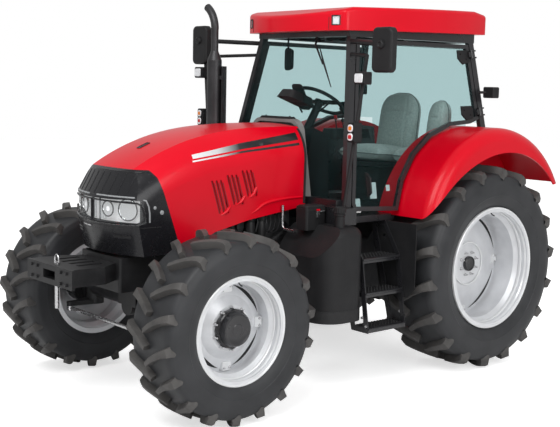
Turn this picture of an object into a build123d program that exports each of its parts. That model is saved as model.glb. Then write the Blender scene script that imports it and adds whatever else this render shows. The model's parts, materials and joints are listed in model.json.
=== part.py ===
"""Four-wheel-drive farm tractor with a glazed cab, as an assembly of separate solids.

X runs forward, Y to the left and Z up. The origin is on the ground, at the middle of the
machine's length and width. All sizes are in millimetres.
"""
import os
from math import atan2, cos, degrees, pi, radians, sin, sqrt

from build123d import *

os.makedirs("parts", exist_ok=True)

# Overall layout
WHEELBASE = 2630
FRONT_OVERHANG = 830
LINK_PIVOT_BACK = 280
LINK_LENGTH = 950
LINK_EYE_R = 42
LINK_SLOPE = 8
RUN_GAP = 0.3

# Wheels
FRONT_TRACK = 1890
FRONT_TYRE_R = 667
FRONT_TYRE_W = 480
FRONT_RIM_R = 381
FRONT_RIM_W = 380
REAR_TRACK = 1850
REAR_TYRE_R = 850
REAR_TYRE_W = 600
REAR_RIM_R = 508
REAR_RIM_W = 508
RIM_FLANGE_T = 13
RIM_FLANGE_H = 25
RIM_WALL = 12
DISC_T = 16
FRONT_DISC_OUT = 60
REAR_DISC_OUT = -15
LUGS_PER_SIDE = 18
LUG_TILT = 8

# Stations along X, worked out from the two axles
REAR_OVERHANG = LINK_PIVOT_BACK + LINK_LENGTH * cos(radians(LINK_SLOPE)) + LINK_EYE_R
REAR_X = -(FRONT_OVERHANG + WHEELBASE + REAR_OVERHANG) / 2 + REAR_OVERHANG
FRONT_X = REAR_X + WHEELBASE
NOSE_TIP_X = FRONT_X + FRONT_OVERHANG


def save(builder, name):
    """Label a finished piece and write it as its own STEP file."""
    builder.part.label = name
    export_step(builder.part, f"parts/{name}.step")


def both_sides(left_part):
    """The left-hand solid with its mirror image on the right."""
    with BuildPart() as pair:
        add(left_part)
        add(mirror(left_part, about=Plane.XZ))
    return pair


def on_right(left_part):
    """The right-hand twin of a left-hand solid."""
    with BuildPart() as twin:
        add(mirror(left_part, about=Plane.XZ))
    return twin


def side_plane(y):
    """Sketch plane across the machine at y: local x is +X, local y is +Z, facing -Y."""
    return Plane(origin=(0, y, 0), x_dir=(1, 0, 0), z_dir=(0, -1, 0))


def cross_plane(x):
    """Sketch plane at station x: local x is +Y, local y is +Z, facing +X."""
    return Plane(origin=(x, 0, 0), x_dir=(0, 1, 0), z_dir=(1, 0, 0))


# Tyres and rims, made about the Y axis at the origin with +Y outboard

def ring_loft(rings):
    """Many-sided ring stack through (y, radius) stations, one flat for each lug of a side."""
    with BuildPart() as stack:
        for y, radius in rings:
            with BuildSketch(side_plane(y)):
                RegularPolygon(radius, LUGS_PER_SIDE)
        loft(ruled=True)
    return stack.part


def tyre_solid(radius, width, rim_r, rim_w):
    """Tyre with two staggered rows of bent lugs, seated between the rim's flanges."""
    to_corner = 1 / cos(pi / LUGS_PER_SIDE)
    seat = rim_r - RIM_FLANGE_H
    bulge_r = rim_r + 0.55 * (radius - rim_r)
    shoulder_r = 0.9 * radius
    bead = ((rim_w / 2, (rim_r + RUN_GAP) * to_corner), (width / 2 + 5, bulge_r + 20))
    lug_out = 0.25 * width
    tip_u = 0.31 * width
    tilt = radians(LUG_TILT)
    tip_z = sqrt(radius**2 - tip_u**2)
    lug_z = tip_z - lug_out * sin(tilt)
    pitch = 360 / LUGS_PER_SIDE
    stand = 180 - degrees(atan2(tip_u, tip_z)) - 0.25 * pitch
    with BuildPart() as tyre:
        add(
            ring_loft(
                (
                    (-width / 2, bulge_r),
                    (-0.42 * width, shoulder_r),
                    (0.42 * width, shoulder_r),
                    (width / 2, bulge_r),
                )
            )
        )
        add(ring_loft(bead), mode=Mode.SUBTRACT)
        add(ring_loft([(-y, r) for y, r in bead]), mode=Mode.SUBTRACT)
        with BuildSketch(side_plane(0)):
            RegularPolygon((seat + RUN_GAP) * to_corner, LUGS_PER_SIDE)
        extrude(amount=width, both=True, mode=Mode.SUBTRACT)
        for i in range(LUGS_PER_SIDE):
            for side in (1, -1):
                turn = radians(stand + (i + 0.25 * side) * pitch)
                out = Vector(sin(turn), 0, cos(turn))
                lug_face = Plane(
                    origin=out * lug_z + Vector(0, side * 0.24 * width, 0),
                    x_dir=(cos(turn), 0, -sin(turn)),
                    z_dir=out * cos(tilt) + Vector(0, side * sin(tilt), 0),
                )
                with BuildSketch(lug_face):
                    with BuildLine():
                        Polyline(
                            (tip_u, -side * lug_out),
                            (0.06 * width, side * 0.04 * width),
                            (-0.01 * width, side * lug_out),
                            (-0.17 * width, side * lug_out),
                            (-0.06 * width, side * 0.04 * width),
                            (tip_u - 0.11 * width, -side * lug_out),
                            close=True,
                        )
                    make_face()
        extrude(amount=-0.13 * radius)
    return tyre.part


def rim_solid(rim_r, rim_w, disc_out, hub_r, seat_r, dish):
    """Rim barrel with its two flanges, and a dished disc that bolts to a hub face of radius seat_r."""
    seat = rim_r - RIM_FLANGE_H
    edge = rim_w / 2 + RIM_FLANGE_T
    well = seat - 45
    well_w = 0.28 * rim_w
    with BuildPart() as rim:
        with BuildSketch(Plane.XY):
            with BuildLine():
                Polyline(
                    (rim_r, edge),
                    (rim_r, rim_w / 2),
                    (seat, rim_w / 2),
                    (seat, -rim_w / 2),
                    (rim_r, -rim_w / 2),
                    (rim_r, -edge),
                    (seat - RIM_WALL, -edge),
                    (seat - RIM_WALL, -well_w - 30),
                    (well, -well_w),
                    (well, well_w),
                    (seat - RIM_WALL, well_w + 30),
                    (seat - RIM_WALL, edge),
                    close=True,
                )
            make_face()
        revolve(axis=Axis.Y)
        with BuildSketch(Plane.XY):
            with BuildLine():
                Polyline(
                    (well + 2, disc_out - dish),
                    (well + 2, disc_out - dish + DISC_T),
                    (0.72 * well, disc_out + DISC_T - 0.6 * dish),
                    (seat_r + 10, disc_out + DISC_T),
                    (hub_r, disc_out + DISC_T),
                    (hub_r, disc_out),
                    (seat_r + 10, disc_out),
                    (0.72 * well, disc_out - 0.6 * dish),
                    close=True,
                )
            make_face()
        revolve(axis=Axis.Y)
    return rim.part


def place_wheel_part(part, x, y, z):
    """A wheel piece moved from the origin to the left-hand wheel's centre."""
    with BuildPart() as placed:
        with Locations((x, y, z)):
            add(part)
    return placed


FRONT_WHEEL = (FRONT_X, FRONT_TRACK / 2, FRONT_TYRE_R)
REAR_WHEEL = (REAR_X, REAR_TRACK / 2, REAR_TYRE_R)
FRONT_HUB_R = 105
HUB_R = 150
REAR_HUB_R = 62
REAR_FLANGE_R = 140

front_tyre = tyre_solid(FRONT_TYRE_R, FRONT_TYRE_W, FRONT_RIM_R, FRONT_RIM_W)
rear_tyre = tyre_solid(REAR_TYRE_R, REAR_TYRE_W, REAR_RIM_R, REAR_RIM_W)
front_rim = rim_solid(FRONT_RIM_R, FRONT_RIM_W, FRONT_DISC_OUT, FRONT_HUB_R, HUB_R, 70)
rear_rim = rim_solid(REAR_RIM_R, REAR_RIM_W, REAR_DISC_OUT, REAR_HUB_R, REAR_FLANGE_R, 60)

for piece, name, centre in (
    (front_tyre, "front_tyre", FRONT_WHEEL),
    (front_rim, "front_rim", FRONT_WHEEL),
    (rear_tyre, "rear_tyre", REAR_WHEEL),
    (rear_rim, "rear_rim", REAR_WHEEL),
):
    left = place_wheel_part(piece, *centre)
    save(left, name + "_left")
    save(on_right(left.part), name + "_right")

# Front axle, steering knuckles, hubs and tie rod
KINGPIN_INSET = 165
KINGPIN_R = 30
KINGPIN_BOSS_R = 70
KINGPIN_BOSS_H = 200
KNUCKLE_PLATE_T = 34
SPINDLE_R = 58
HUB_INNER_Y = 60
HUB_LENGTH = 215
AXLE_TUBE_R = 68
DIFF_R = 130
DIFF_HALF_L = 150
TRUNNION_HALF_L = 150
STEER_ARM_X = 230
TIE_PIN_R = 15
TIE_EYE_R = 30
TIE_EYE_H = 33
TIE_ROD_R = 15

KINGPIN_Y = FRONT_TRACK / 2 - KINGPIN_INSET
BOSS_TOP = FRONT_TYRE_R + KINGPIN_BOSS_H / 2
BOSS_BOTTOM = FRONT_TYRE_R - KINGPIN_BOSS_H / 2
PLATE_BOTTOM = BOSS_BOTTOM - RUN_GAP - KNUCKLE_PLATE_T
TIE_EYE_TOP = PLATE_BOTTOM - RUN_GAP
AXLE_PLANE = Plane(origin=(FRONT_X, 0, FRONT_TYRE_R), x_dir=(1, 0, 0), z_dir=(0, -1, 0))

with BuildPart() as front_axle:
    with BuildSketch(AXLE_PLANE):
        Circle(AXLE_TUBE_R)
    extrude(amount=KINGPIN_Y, both=True)
    with BuildSketch(AXLE_PLANE):
        Circle(DIFF_R)
    extrude(amount=DIFF_HALF_L, both=True, taper=12)
    with BuildSketch(Plane(origin=(FRONT_X, 0, FRONT_TYRE_R), z_dir=(1, 0, 0))):
        Circle(60)
    extrude(amount=TRUNNION_HALF_L, both=True)
    with Locations((FRONT_X, KINGPIN_Y, FRONT_TYRE_R), (FRONT_X, -KINGPIN_Y, FRONT_TYRE_R)):
        Cylinder(KINGPIN_BOSS_R, KINGPIN_BOSS_H)
    with Locations((FRONT_X, KINGPIN_Y, FRONT_TYRE_R), (FRONT_X, -KINGPIN_Y, FRONT_TYRE_R)):
        Cylinder(KINGPIN_R + RUN_GAP, KINGPIN_BOSS_H, mode=Mode.SUBTRACT)
save(front_axle, "front_axle")

HUB_BACK_Y = FRONT_TRACK / 2 - HUB_INNER_Y
KNUCKLE_WALL_IN = KINGPIN_Y + KINGPIN_BOSS_R + 8
KINGPIN_LENGTH = 70
with BuildPart() as knuckle_left:
    for z_low, pin_low in (
        (PLATE_BOTTOM, BOSS_BOTTOM - RUN_GAP),
        (BOSS_TOP + RUN_GAP, BOSS_TOP + RUN_GAP - KINGPIN_LENGTH),
    ):
        with BuildSketch(Plane.XY.offset(z_low)):
            with Locations((FRONT_X, KINGPIN_Y)):
                Circle(KINGPIN_BOSS_R)
            with Locations((FRONT_X, (KINGPIN_Y + HUB_BACK_Y) / 2)):
                Rectangle(2 * KINGPIN_BOSS_R, HUB_BACK_Y - KINGPIN_Y - 2 * RUN_GAP)
        extrude(amount=KNUCKLE_PLATE_T)
        with Locations((FRONT_X, KINGPIN_Y, pin_low)):
            Cylinder(
                KINGPIN_R, KINGPIN_LENGTH, align=(Align.CENTER, Align.CENTER, Align.MIN)
            )
    with Locations((FRONT_X, KNUCKLE_WALL_IN, FRONT_TYRE_R)):
        Box(
            2 * KINGPIN_BOSS_R,
            HUB_BACK_Y - 2 * RUN_GAP - KNUCKLE_WALL_IN,
            KINGPIN_BOSS_H + 2 * KNUCKLE_PLATE_T + 2 * RUN_GAP,
            align=(Align.CENTER, Align.MIN, Align.CENTER),
        )
    with BuildSketch(side_plane(KNUCKLE_WALL_IN)):
        with Locations((FRONT_X, FRONT_TYRE_R)):
            Circle(SPINDLE_R)
    extrude(amount=-(HUB_BACK_Y - KNUCKLE_WALL_IN + 80))
    with BuildSketch(Plane.XY.offset(PLATE_BOTTOM)):
        with BuildLine():
            Polyline(
                (FRONT_X, KINGPIN_Y + 60),
                (FRONT_X, KINGPIN_Y - 60),
                (FRONT_X + STEER_ARM_X, KINGPIN_Y - 28),
                (FRONT_X + STEER_ARM_X, KINGPIN_Y + 28),
                close=True,
            )
        make_face()
        with Locations((FRONT_X + STEER_ARM_X, KINGPIN_Y)):
            Circle(28)
    extrude(amount=KNUCKLE_PLATE_T)
    with Locations((FRONT_X + STEER_ARM_X, KINGPIN_Y, PLATE_BOTTOM)):
        Cylinder(
            TIE_PIN_R, TIE_EYE_H + 6, align=(Align.CENTER, Align.CENTER, Align.MAX)
        )
save(knuckle_left, "knuckle_left")
save(on_right(knuckle_left.part), "knuckle_right")

with BuildPart() as tie_rod:
    with BuildSketch(side_plane(0)):
        with Locations((FRONT_X + STEER_ARM_X, TIE_EYE_TOP - TIE_EYE_H / 2)):
            Circle(TIE_ROD_R)
    extrude(amount=KINGPIN_Y, both=True)
    with Locations(
        (FRONT_X + STEER_ARM_X, KINGPIN_Y, TIE_EYE_TOP),
        (FRONT_X + STEER_ARM_X, -KINGPIN_Y, TIE_EYE_TOP),
    ):
        Cylinder(TIE_EYE_R, TIE_EYE_H, align=(Align.CENTER, Align.CENTER, Align.MAX))
    with Locations(
        (FRONT_X + STEER_ARM_X, KINGPIN_Y, TIE_EYE_TOP),
        (FRONT_X + STEER_ARM_X, -KINGPIN_Y, TIE_EYE_TOP),
    ):
        Cylinder(
            TIE_PIN_R + RUN_GAP,
            2 * TIE_EYE_H,
            align=(Align.CENTER, Align.CENTER, Align.CENTER),
            mode=Mode.SUBTRACT,
        )
save(tie_rod, "tie_rod")

DISC_SEAT_Y = FRONT_TRACK / 2 + FRONT_DISC_OUT
with BuildPart() as front_hub_left:
    with BuildSketch(Plane.XY):
        with BuildLine():
            Polyline(
                (0, HUB_BACK_Y + 95),
                (SPINDLE_R + RUN_GAP, HUB_BACK_Y + 95),
                (SPINDLE_R + RUN_GAP, HUB_BACK_Y),
                (HUB_R - 10, HUB_BACK_Y),
                (HUB_R, HUB_BACK_Y + 12),
                (HUB_R, DISC_SEAT_Y),
                (FRONT_HUB_R - 1, DISC_SEAT_Y),
                (FRONT_HUB_R - 1, HUB_BACK_Y + HUB_LENGTH - 20),
                (FRONT_HUB_R - 25, HUB_BACK_Y + HUB_LENGTH),
                (0, HUB_BACK_Y + HUB_LENGTH),
                close=True,
            )
        make_face()
    revolve(axis=Axis.Y)
front_hub_left = place_wheel_part(front_hub_left.part, FRONT_X, 0, FRONT_TYRE_R)
save(front_hub_left, "front_hub_left")
save(on_right(front_hub_left.part), "front_hub_right")

# Transmission, rear axle and rear hubs
BACKBONE_HALF = 240
REAR_CASE_BACK = 330
REAR_CASE_FRONT = 360
REAR_CASE_TOP = 1230
BACKBONE_BOTTOM = 500
BACKBONE_TOP = 1040
BELL_X = REAR_X + 1450
PTO_R = 17.46
PTO_LENGTH = 76
PTO_Z = 640
TRUMPET_R = 165
TRUMPET_END_R = 105
TRUMPET_END_Y = 760
AXLE_SHAFT_R = 55
AXLE_SHAFT_IN = 80

# Rear linkage pivots on the transmission's back
LINK_PIVOT_Z = 580
LINK_Y = 420
LINK_T = 36
LINK_H = 62
LINK_PIN_R = 20
LINK_BORE_R = 14.4
LINK_EYE_W = 45
ROCKER_BACK = 90
ROCKER_Z = 1130
ROCKER_R = 40
ROCKER_EAR_Y = 110
ROCKER_EAR_T = 40
ARM_LENGTH = 420
ARM_Y = 290
ARM_T = 40
ARM_PIN_R = 16
ROD_Y = 350
ROD_T = 30
ROD_R = 14
ROD_EYE_R = 32
TOP_EYE_R = 12.85
TOP_EYE_W = 52
TOP_EAR_T = 20
TOP_EYE_Z = 900
LINK_PIVOT_X = REAR_X - LINK_PIVOT_BACK
ROCKER_X = REAR_X - REAR_CASE_BACK - ROCKER_BACK
TOP_EYE_X = REAR_X - REAR_CASE_BACK - 60

with BuildPart() as transmission:
    with BuildSketch(side_plane(0)):
        with BuildLine():
            Polyline(
                (REAR_X - REAR_CASE_BACK, BACKBONE_BOTTOM),
                (REAR_X + REAR_CASE_FRONT, BACKBONE_BOTTOM),
                (BELL_X, BACKBONE_BOTTOM + 60),
                (BELL_X, BACKBONE_TOP),
                (REAR_X + REAR_CASE_FRONT + 150, BACKBONE_TOP),
                (REAR_X + REAR_CASE_FRONT, REAR_CASE_TOP),
                (REAR_X - REAR_CASE_BACK, REAR_CASE_TOP),
                close=True,
            )
        make_face()
    extrude(amount=BACKBONE_HALF, both=True)
    fillet(transmission.edges().filter_by(Axis.X), 40)
    with BuildSketch(cross_plane(REAR_X - REAR_CASE_BACK)):
        with Locations((0, PTO_Z)):
            Circle(PTO_R)
    extrude(amount=-PTO_LENGTH)
    with BuildSketch(side_plane(0)):
        with Locations((LINK_PIVOT_X, LINK_PIVOT_Z)):
            Circle(LINK_PIN_R)
    extrude(amount=LINK_Y + LINK_T / 2 + 12, both=True)
    for y_low in (ROCKER_EAR_Y, -ROCKER_EAR_Y - ROCKER_EAR_T):
        with BuildSketch(side_plane(y_low)):
            with Locations((ROCKER_X, ROCKER_Z)):
                Circle(ROCKER_R + 28)
            with Locations(((ROCKER_X + REAR_X - REAR_CASE_BACK) / 2 + 10, ROCKER_Z)):
                Rectangle(REAR_X - REAR_CASE_BACK - ROCKER_X + 20, 2 * (ROCKER_R + 28))
            with Locations((ROCKER_X, ROCKER_Z)):
                Circle(ROCKER_R + RUN_GAP, mode=Mode.SUBTRACT)
        extrude(amount=-ROCKER_EAR_T)
    for y_low in (TOP_EYE_W / 2, -TOP_EYE_W / 2 - TOP_EAR_T):
        with BuildSketch(side_plane(y_low)):
            with BuildLine():
                Polyline(
                    (REAR_X - REAR_CASE_BACK + 10, TOP_EYE_Z - 90),
                    (TOP_EYE_X - 35, TOP_EYE_Z - 35),
                    (TOP_EYE_X - 35, TOP_EYE_Z + 35),
                    (REAR_X - REAR_CASE_BACK + 10, TOP_EYE_Z + 60),
                    close=True,
                )
            make_face()
            with Locations((TOP_EYE_X, TOP_EYE_Z)):
                Circle(TOP_EYE_R, mode=Mode.SUBTRACT)
        extrude(amount=-TOP_EAR_T)
save(transmission, "transmission")

with BuildPart() as rear_axle_left:
    with BuildSketch(side_plane(BACKBONE_HALF)):
        with Locations((REAR_X, REAR_TYRE_R)):
            Circle(TRUMPET_R)
    with BuildSketch(side_plane(TRUMPET_END_Y)):
        with Locations((REAR_X, REAR_TYRE_R)):
            Circle(TRUMPET_END_R)
    loft()
    with BuildSketch(side_plane(TRUMPET_END_Y)):
        with Locations((REAR_X, REAR_TYRE_R)):
            Circle(AXLE_SHAFT_R + RUN_GAP)
    extrude(amount=AXLE_SHAFT_IN + 5, mode=Mode.SUBTRACT)
rear_axle_tubes = both_sides(rear_axle_left.part)
save(rear_axle_tubes, "rear_axle_tubes")

REAR_SEAT_Y = REAR_TRACK / 2 + REAR_DISC_OUT
with BuildPart() as rear_hub_left:
    with BuildSketch(Plane.XY):
        with BuildLine():
            Polyline(
                (0, TRUMPET_END_Y - AXLE_SHAFT_IN),
                (AXLE_SHAFT_R, TRUMPET_END_Y - AXLE_SHAFT_IN),
                (AXLE_SHAFT_R, TRUMPET_END_Y + RUN_GAP),
                (TRUMPET_END_R, TRUMPET_END_Y + RUN_GAP),
                (REAR_FLANGE_R, REAR_SEAT_Y - 25),
                (REAR_FLANGE_R, REAR_SEAT_Y),
                (REAR_HUB_R - 1, REAR_SEAT_Y),
                (REAR_HUB_R - 1, REAR_SEAT_Y + DISC_T + 10),
                (0, REAR_SEAT_Y + DISC_T + 10),
                close=True,
            )
        make_face()
    revolve(axis=Axis.Y)
rear_hub_left = place_wheel_part(rear_hub_left.part, REAR_X, 0, REAR_TYRE_R)
save(rear_hub_left, "rear_hub_left")
save(on_right(rear_hub_left.part), "rear_hub_right")

# Engine with the hood's hinge posts, cooling pack and front support casting
ENGINE_HALF = 250
ENGINE_BOTTOM = 640
ENGINE_TOP = 1440
ENGINE_FRONT = FRONT_X - 390
COOLER_BACK = FRONT_X - 300
COOLER_FRONT = FRONT_X + 60
COOLER_HALF = 310
COOLER_TOP = 1620
SUPPORT_HALF = 270
SUPPORT_CLEARANCE = 33
SUPPORT_H = 250
SUPPORT_BOTTOM = FRONT_TYRE_R + DIFF_R + SUPPORT_CLEARANCE
SUPPORT_TOP = SUPPORT_BOTTOM + SUPPORT_H
SUPPORT_FRONT = FRONT_X + 420
PIVOT_PLATE_T = 40
PIVOT_PLATE_HALF = 120
HOOD_REAR_X = REAR_X + 1440
HOOD_PIVOT_X = HOOD_REAR_X + 32
HOOD_TOP_REAR = 2003
HOOD_PIVOT_Z = HOOD_TOP_REAR - 30
HOOD_PIN_R = 7
HOOD_POST_R = 12
HOOD_LUG_R = 20
HOOD_POST_Y = 200
HOOD_POST_T = 16
HOOD_LUG_T = 18
HOOD_LUG_GAP = 2

with BuildPart() as engine:
    with BuildSketch(side_plane(0)):
        with BuildLine():
            Polyline(
                (BELL_X, ENGINE_BOTTOM),
                (ENGINE_FRONT, ENGINE_BOTTOM + 60),
                (ENGINE_FRONT, ENGINE_TOP - 120),
                (ENGINE_FRONT - 80, ENGINE_TOP),
                (BELL_X, ENGINE_TOP),
                close=True,
            )
        make_face()
    extrude(amount=ENGINE_HALF, both=True)
    with Locations(((BELL_X + ENGINE_FRONT) / 2 - 30, 0, ENGINE_TOP)):
        Box(
            ENGINE_FRONT - BELL_X - 160,
            1.1 * ENGINE_HALF,
            130,
            align=(Align.CENTER, Align.CENTER, Align.MIN),
        )
    with Locations(((COOLER_BACK + COOLER_FRONT) / 2, 0, SUPPORT_TOP)):
        Box(
            COOLER_FRONT - COOLER_BACK,
            2 * COOLER_HALF,
            COOLER_TOP - SUPPORT_TOP,
            align=(Align.CENTER, Align.CENTER, Align.MIN),
        )
    for y_low in (HOOD_POST_Y, -HOOD_POST_Y - HOOD_POST_T):
        with BuildSketch(side_plane(y_low)):
            with BuildLine():
                Polyline(
                    (BELL_X, ENGINE_TOP - 20),
                    (BELL_X + 160, ENGINE_TOP - 20),
                    (HOOD_PIVOT_X + HOOD_POST_R, HOOD_PIVOT_Z),
                    (HOOD_PIVOT_X - HOOD_POST_R, HOOD_PIVOT_Z),
                    close=True,
                )
            make_face()
            with Locations((HOOD_PIVOT_X, HOOD_PIVOT_Z)):
                Circle(HOOD_POST_R)
        extrude(amount=-HOOD_POST_T)
    with BuildSketch(side_plane(0)):
        with Locations((HOOD_PIVOT_X, HOOD_PIVOT_Z)):
            Circle(HOOD_PIN_R)
    extrude(amount=HOOD_POST_Y + HOOD_POST_T + HOOD_LUG_GAP + HOOD_LUG_T + 4, both=True)
save(engine, "engine")

with BuildPart() as front_support:
    with BuildSketch(side_plane(0)):
        with BuildLine():
            Polyline(
                (ENGINE_FRONT, SUPPORT_BOTTOM),
                (SUPPORT_FRONT, SUPPORT_BOTTOM),
                (SUPPORT_FRONT, SUPPORT_TOP),
                (ENGINE_FRONT, SUPPORT_TOP),
                close=True,
            )
        make_face()
    extrude(amount=SUPPORT_HALF, both=True)
    fillet(front_support.edges().filter_by(Axis.Z), 25)
    for x_low in (FRONT_X - TRUNNION_HALF_L - PIVOT_PLATE_T, FRONT_X + TRUNNION_HALF_L):
        with BuildSketch(cross_plane(x_low)):
            with Locations((0, FRONT_TYRE_R)):
                Circle(75)
            with Locations((0, (FRONT_TYRE_R + SUPPORT_BOTTOM) / 2)):
                Rectangle(2 * PIVOT_PLATE_HALF, SUPPORT_BOTTOM - FRONT_TYRE_R)
        extrude(amount=PIVOT_PLATE_T)
save(front_support, "front_support")

# Front carrier: a slotted block behind a push plate, with a drawpin in its jaw
CARRIER_DROP = 40
CARRIER_H = 125
CARRIER_REAR_HALF = 210
CARRIER_FRONT_HALF = 300
PLATE_HALF = 324
PLATE_T = 22
PLATE_H = 140
JAW_W = 170
JAW_H = 62
JAW_DEPTH = 95
DRAWPIN_R = 15
DRAWPIN_HEAD_R = 22
DRAWPIN_IN = 62
CARRIER_SLOT_W = 46
CARRIER_SLOT_L = 200
CARRIER_SLOT_PITCH = 108

CARRIER_TOP = SUPPORT_TOP - CARRIER_DROP
JAW_Z = CARRIER_TOP - PLATE_H / 2
PLATE_BACK = NOSE_TIP_X - PLATE_T
DRAWPIN_X = NOSE_TIP_X - DRAWPIN_IN
CARRIER_LENGTH = PLATE_BACK - SUPPORT_FRONT
with BuildPart() as weight_carrier:
    with BuildSketch(Plane.XY.offset(CARRIER_TOP - CARRIER_H)):
        with BuildLine():
            Polyline(
                (SUPPORT_FRONT, -CARRIER_REAR_HALF),
                (SUPPORT_FRONT + 0.35 * CARRIER_LENGTH, -CARRIER_FRONT_HALF),
                (PLATE_BACK, -CARRIER_FRONT_HALF),
                (PLATE_BACK, CARRIER_FRONT_HALF),
                (SUPPORT_FRONT + 0.35 * CARRIER_LENGTH, CARRIER_FRONT_HALF),
                (SUPPORT_FRONT, CARRIER_REAR_HALF),
                close=True,
            )
        make_face()
        with Locations((SUPPORT_FRONT + 0.46 * CARRIER_LENGTH, 0)):
            with GridLocations(1, CARRIER_SLOT_PITCH, 1, 4):
                Rectangle(CARRIER_SLOT_L, CARRIER_SLOT_W, mode=Mode.SUBTRACT)
    extrude(amount=CARRIER_H)
    with Locations((PLATE_BACK, 0, JAW_Z)):
        Box(
            JAW_DEPTH - PLATE_T,
            JAW_W,
            JAW_H,
            align=(Align.MAX, Align.CENTER, Align.CENTER),
            mode=Mode.SUBTRACT,
        )
    with Locations((DRAWPIN_X, 0, CARRIER_TOP)):
        Cylinder(DRAWPIN_R + RUN_GAP, 2 * PLATE_H, mode=Mode.SUBTRACT)
save(weight_carrier, "weight_carrier")

with BuildPart() as push_plate:
    with BuildSketch(cross_plane(PLATE_BACK)):
        with Locations((0, JAW_Z)):
            Rectangle(2 * PLATE_HALF, PLATE_H)
            Rectangle(JAW_W, JAW_H, mode=Mode.SUBTRACT)
    extrude(amount=PLATE_T)
save(push_plate, "push_plate")

DRAWPIN_BOTTOM = 720
with BuildPart() as drawpin:
    with Locations((DRAWPIN_X, 0, DRAWPIN_BOTTOM)):
        Cylinder(
            DRAWPIN_R,
            CARRIER_TOP - DRAWPIN_BOTTOM,
            align=(Align.CENTER, Align.CENTER, Align.MIN),
        )
    with Locations((DRAWPIN_X, 0, CARRIER_TOP)):
        Cylinder(DRAWPIN_HEAD_R, 14, align=(Align.CENTER, Align.CENTER, Align.MIN))
save(drawpin, "drawpin")

# Hood: one lofted shell, split into the red panel, the black nose and the lamp lenses
HOOD_NOSE_X = FRONT_X + 480
HOOD_WALL = 12
HOOD_DROP = 405
HOOD_HALF_REAR = 435
HOOD_HALF_FRONT = 425
HOOD_RIDGE_REAR = 310
HOOD_RIDGE_FRONT = 270
HOOD_CROWN = 16
HOOD_SILL_REAR = 1385
HOOD_SUPPORT_GAP = 22
HOOD_SILL_FRONT = SUPPORT_TOP + HOOD_SUPPORT_GAP
HOOD_CREASE_BELOW = 260
NOSE_SAG = 172
NOSE_TOP_Z = 1700
LAMP_BOTTOM = 1325
LAMP_TOP = 1510
LAMP_INNER_Y = 7


def hood_top(x):
    """Height of the hood's ridge: level at the cab and falling faster towards the nose."""
    t = max(0, (x - HOOD_REAR_X) / (HOOD_NOSE_X - HOOD_REAR_X))
    return HOOD_TOP_REAR - HOOD_DROP * t**3.1


def hood_loft(inset, x_start, x_end, z_floor):
    """Solid under the hood's skin, taken in by inset, from x_start to x_end and down to z_floor."""
    with BuildPart() as body:
        count = 5
        for i in range(count):
            x = x_start + (x_end - x_start) * i / (count - 1)
            t = (x - HOOD_REAR_X) / (HOOD_NOSE_X - HOOD_REAR_X)
            side = HOOD_HALF_REAR + (HOOD_HALF_FRONT - HOOD_HALF_REAR) * t - inset
            ridge = HOOD_RIDGE_REAR + (HOOD_RIDGE_FRONT - HOOD_RIDGE_REAR) * t - 0.6 * inset
            top = hood_top(x) - inset
            crease = top - HOOD_CREASE_BELOW
            with BuildSketch(cross_plane(x)):
                with BuildLine():
                    flank = Line((side - 12, z_floor), (side, crease))
                    brow = ThreePointArc(
                        (side, crease),
                        (0.45 * ridge + 0.55 * side + 12, top - 92),
                        (ridge, top),
                    )
                    mirror(flank, about=Plane.YZ)
                    mirror(brow, about=Plane.YZ)
                    ThreePointArc((ridge, top), (0, top + HOOD_CROWN), (-ridge, top))
                    Line((side - 12, z_floor), (-side + 12, z_floor))
                make_face()
        loft()
    return body.part


NOSE_SETBACKS = (
    (SUPPORT_BOTTOM, 110),
    (HOOD_SILL_FRONT, 50),
    (LAMP_BOTTOM, 0),
    (LAMP_TOP, 0),
    (NOSE_TOP_Z, 110),
    (HOOD_TOP_REAR + 100, 390),
)


def nose_block(inset, back):
    """Block with the nose's rounded and leaning front, taken in by inset, to bound the hood."""
    half = HOOD_HALF_REAR + 60
    with BuildPart() as block:
        for z, setback in NOSE_SETBACKS:
            tip = HOOD_NOSE_X - setback - inset
            with BuildSketch(Plane.XY.offset(z)):
                with BuildLine():
                    Polyline(
                        (tip - NOSE_SAG, half),
                        (back, half),
                        (back, -half),
                        (tip - NOSE_SAG, -half),
                    )
                    ThreePointArc((tip - NOSE_SAG, -half), (tip, 0), (tip - NOSE_SAG, half))
                make_face()
        loft(ruled=True)
    return block.part


def side_prism(points, half):
    """Prism across the machine from an outline of (x, z) points."""
    with BuildPart() as prism:
        with BuildSketch(side_plane(0)):
            with BuildLine():
                Polyline(*points, close=True)
            make_face()
        extrude(amount=half, both=True)
    return prism.part


NOSE_SPLIT_TOP_X = FRONT_X + 225
NOSE_SPLIT_LOW_X = FRONT_X - 10
NOSE_BROW_X = FRONT_X + 338
sill_points = (
    (HOOD_REAR_X - 100, HOOD_SILL_REAR + 8),
    (HOOD_REAR_X + 560, HOOD_SILL_REAR - 80),
    (FRONT_X - 310, HOOD_SILL_REAR - 150),
    (FRONT_X - 10, HOOD_SILL_FRONT),
    (HOOD_NOSE_X + 100, HOOD_SILL_FRONT),
    (HOOD_NOSE_X + 100, SUPPORT_BOTTOM),
    (HOOD_REAR_X - 100, SUPPORT_BOTTOM),
)
nose_points = (
    (NOSE_SPLIT_LOW_X, SUPPORT_BOTTOM),
    (NOSE_SPLIT_LOW_X, HOOD_SILL_FRONT),
    (NOSE_SPLIT_TOP_X - 89, NOSE_TOP_Z - 198),
    (NOSE_SPLIT_TOP_X - 56, NOSE_TOP_Z - 108),
    (NOSE_SPLIT_TOP_X - 38, NOSE_TOP_Z - 45),
    (NOSE_SPLIT_TOP_X, NOSE_TOP_Z + 6),
    (NOSE_BROW_X, NOSE_TOP_Z + 10),
    (HOOD_NOSE_X + 100, NOSE_TOP_Z + 10),
    (HOOD_NOSE_X + 100, SUPPORT_BOTTOM),
)
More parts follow.
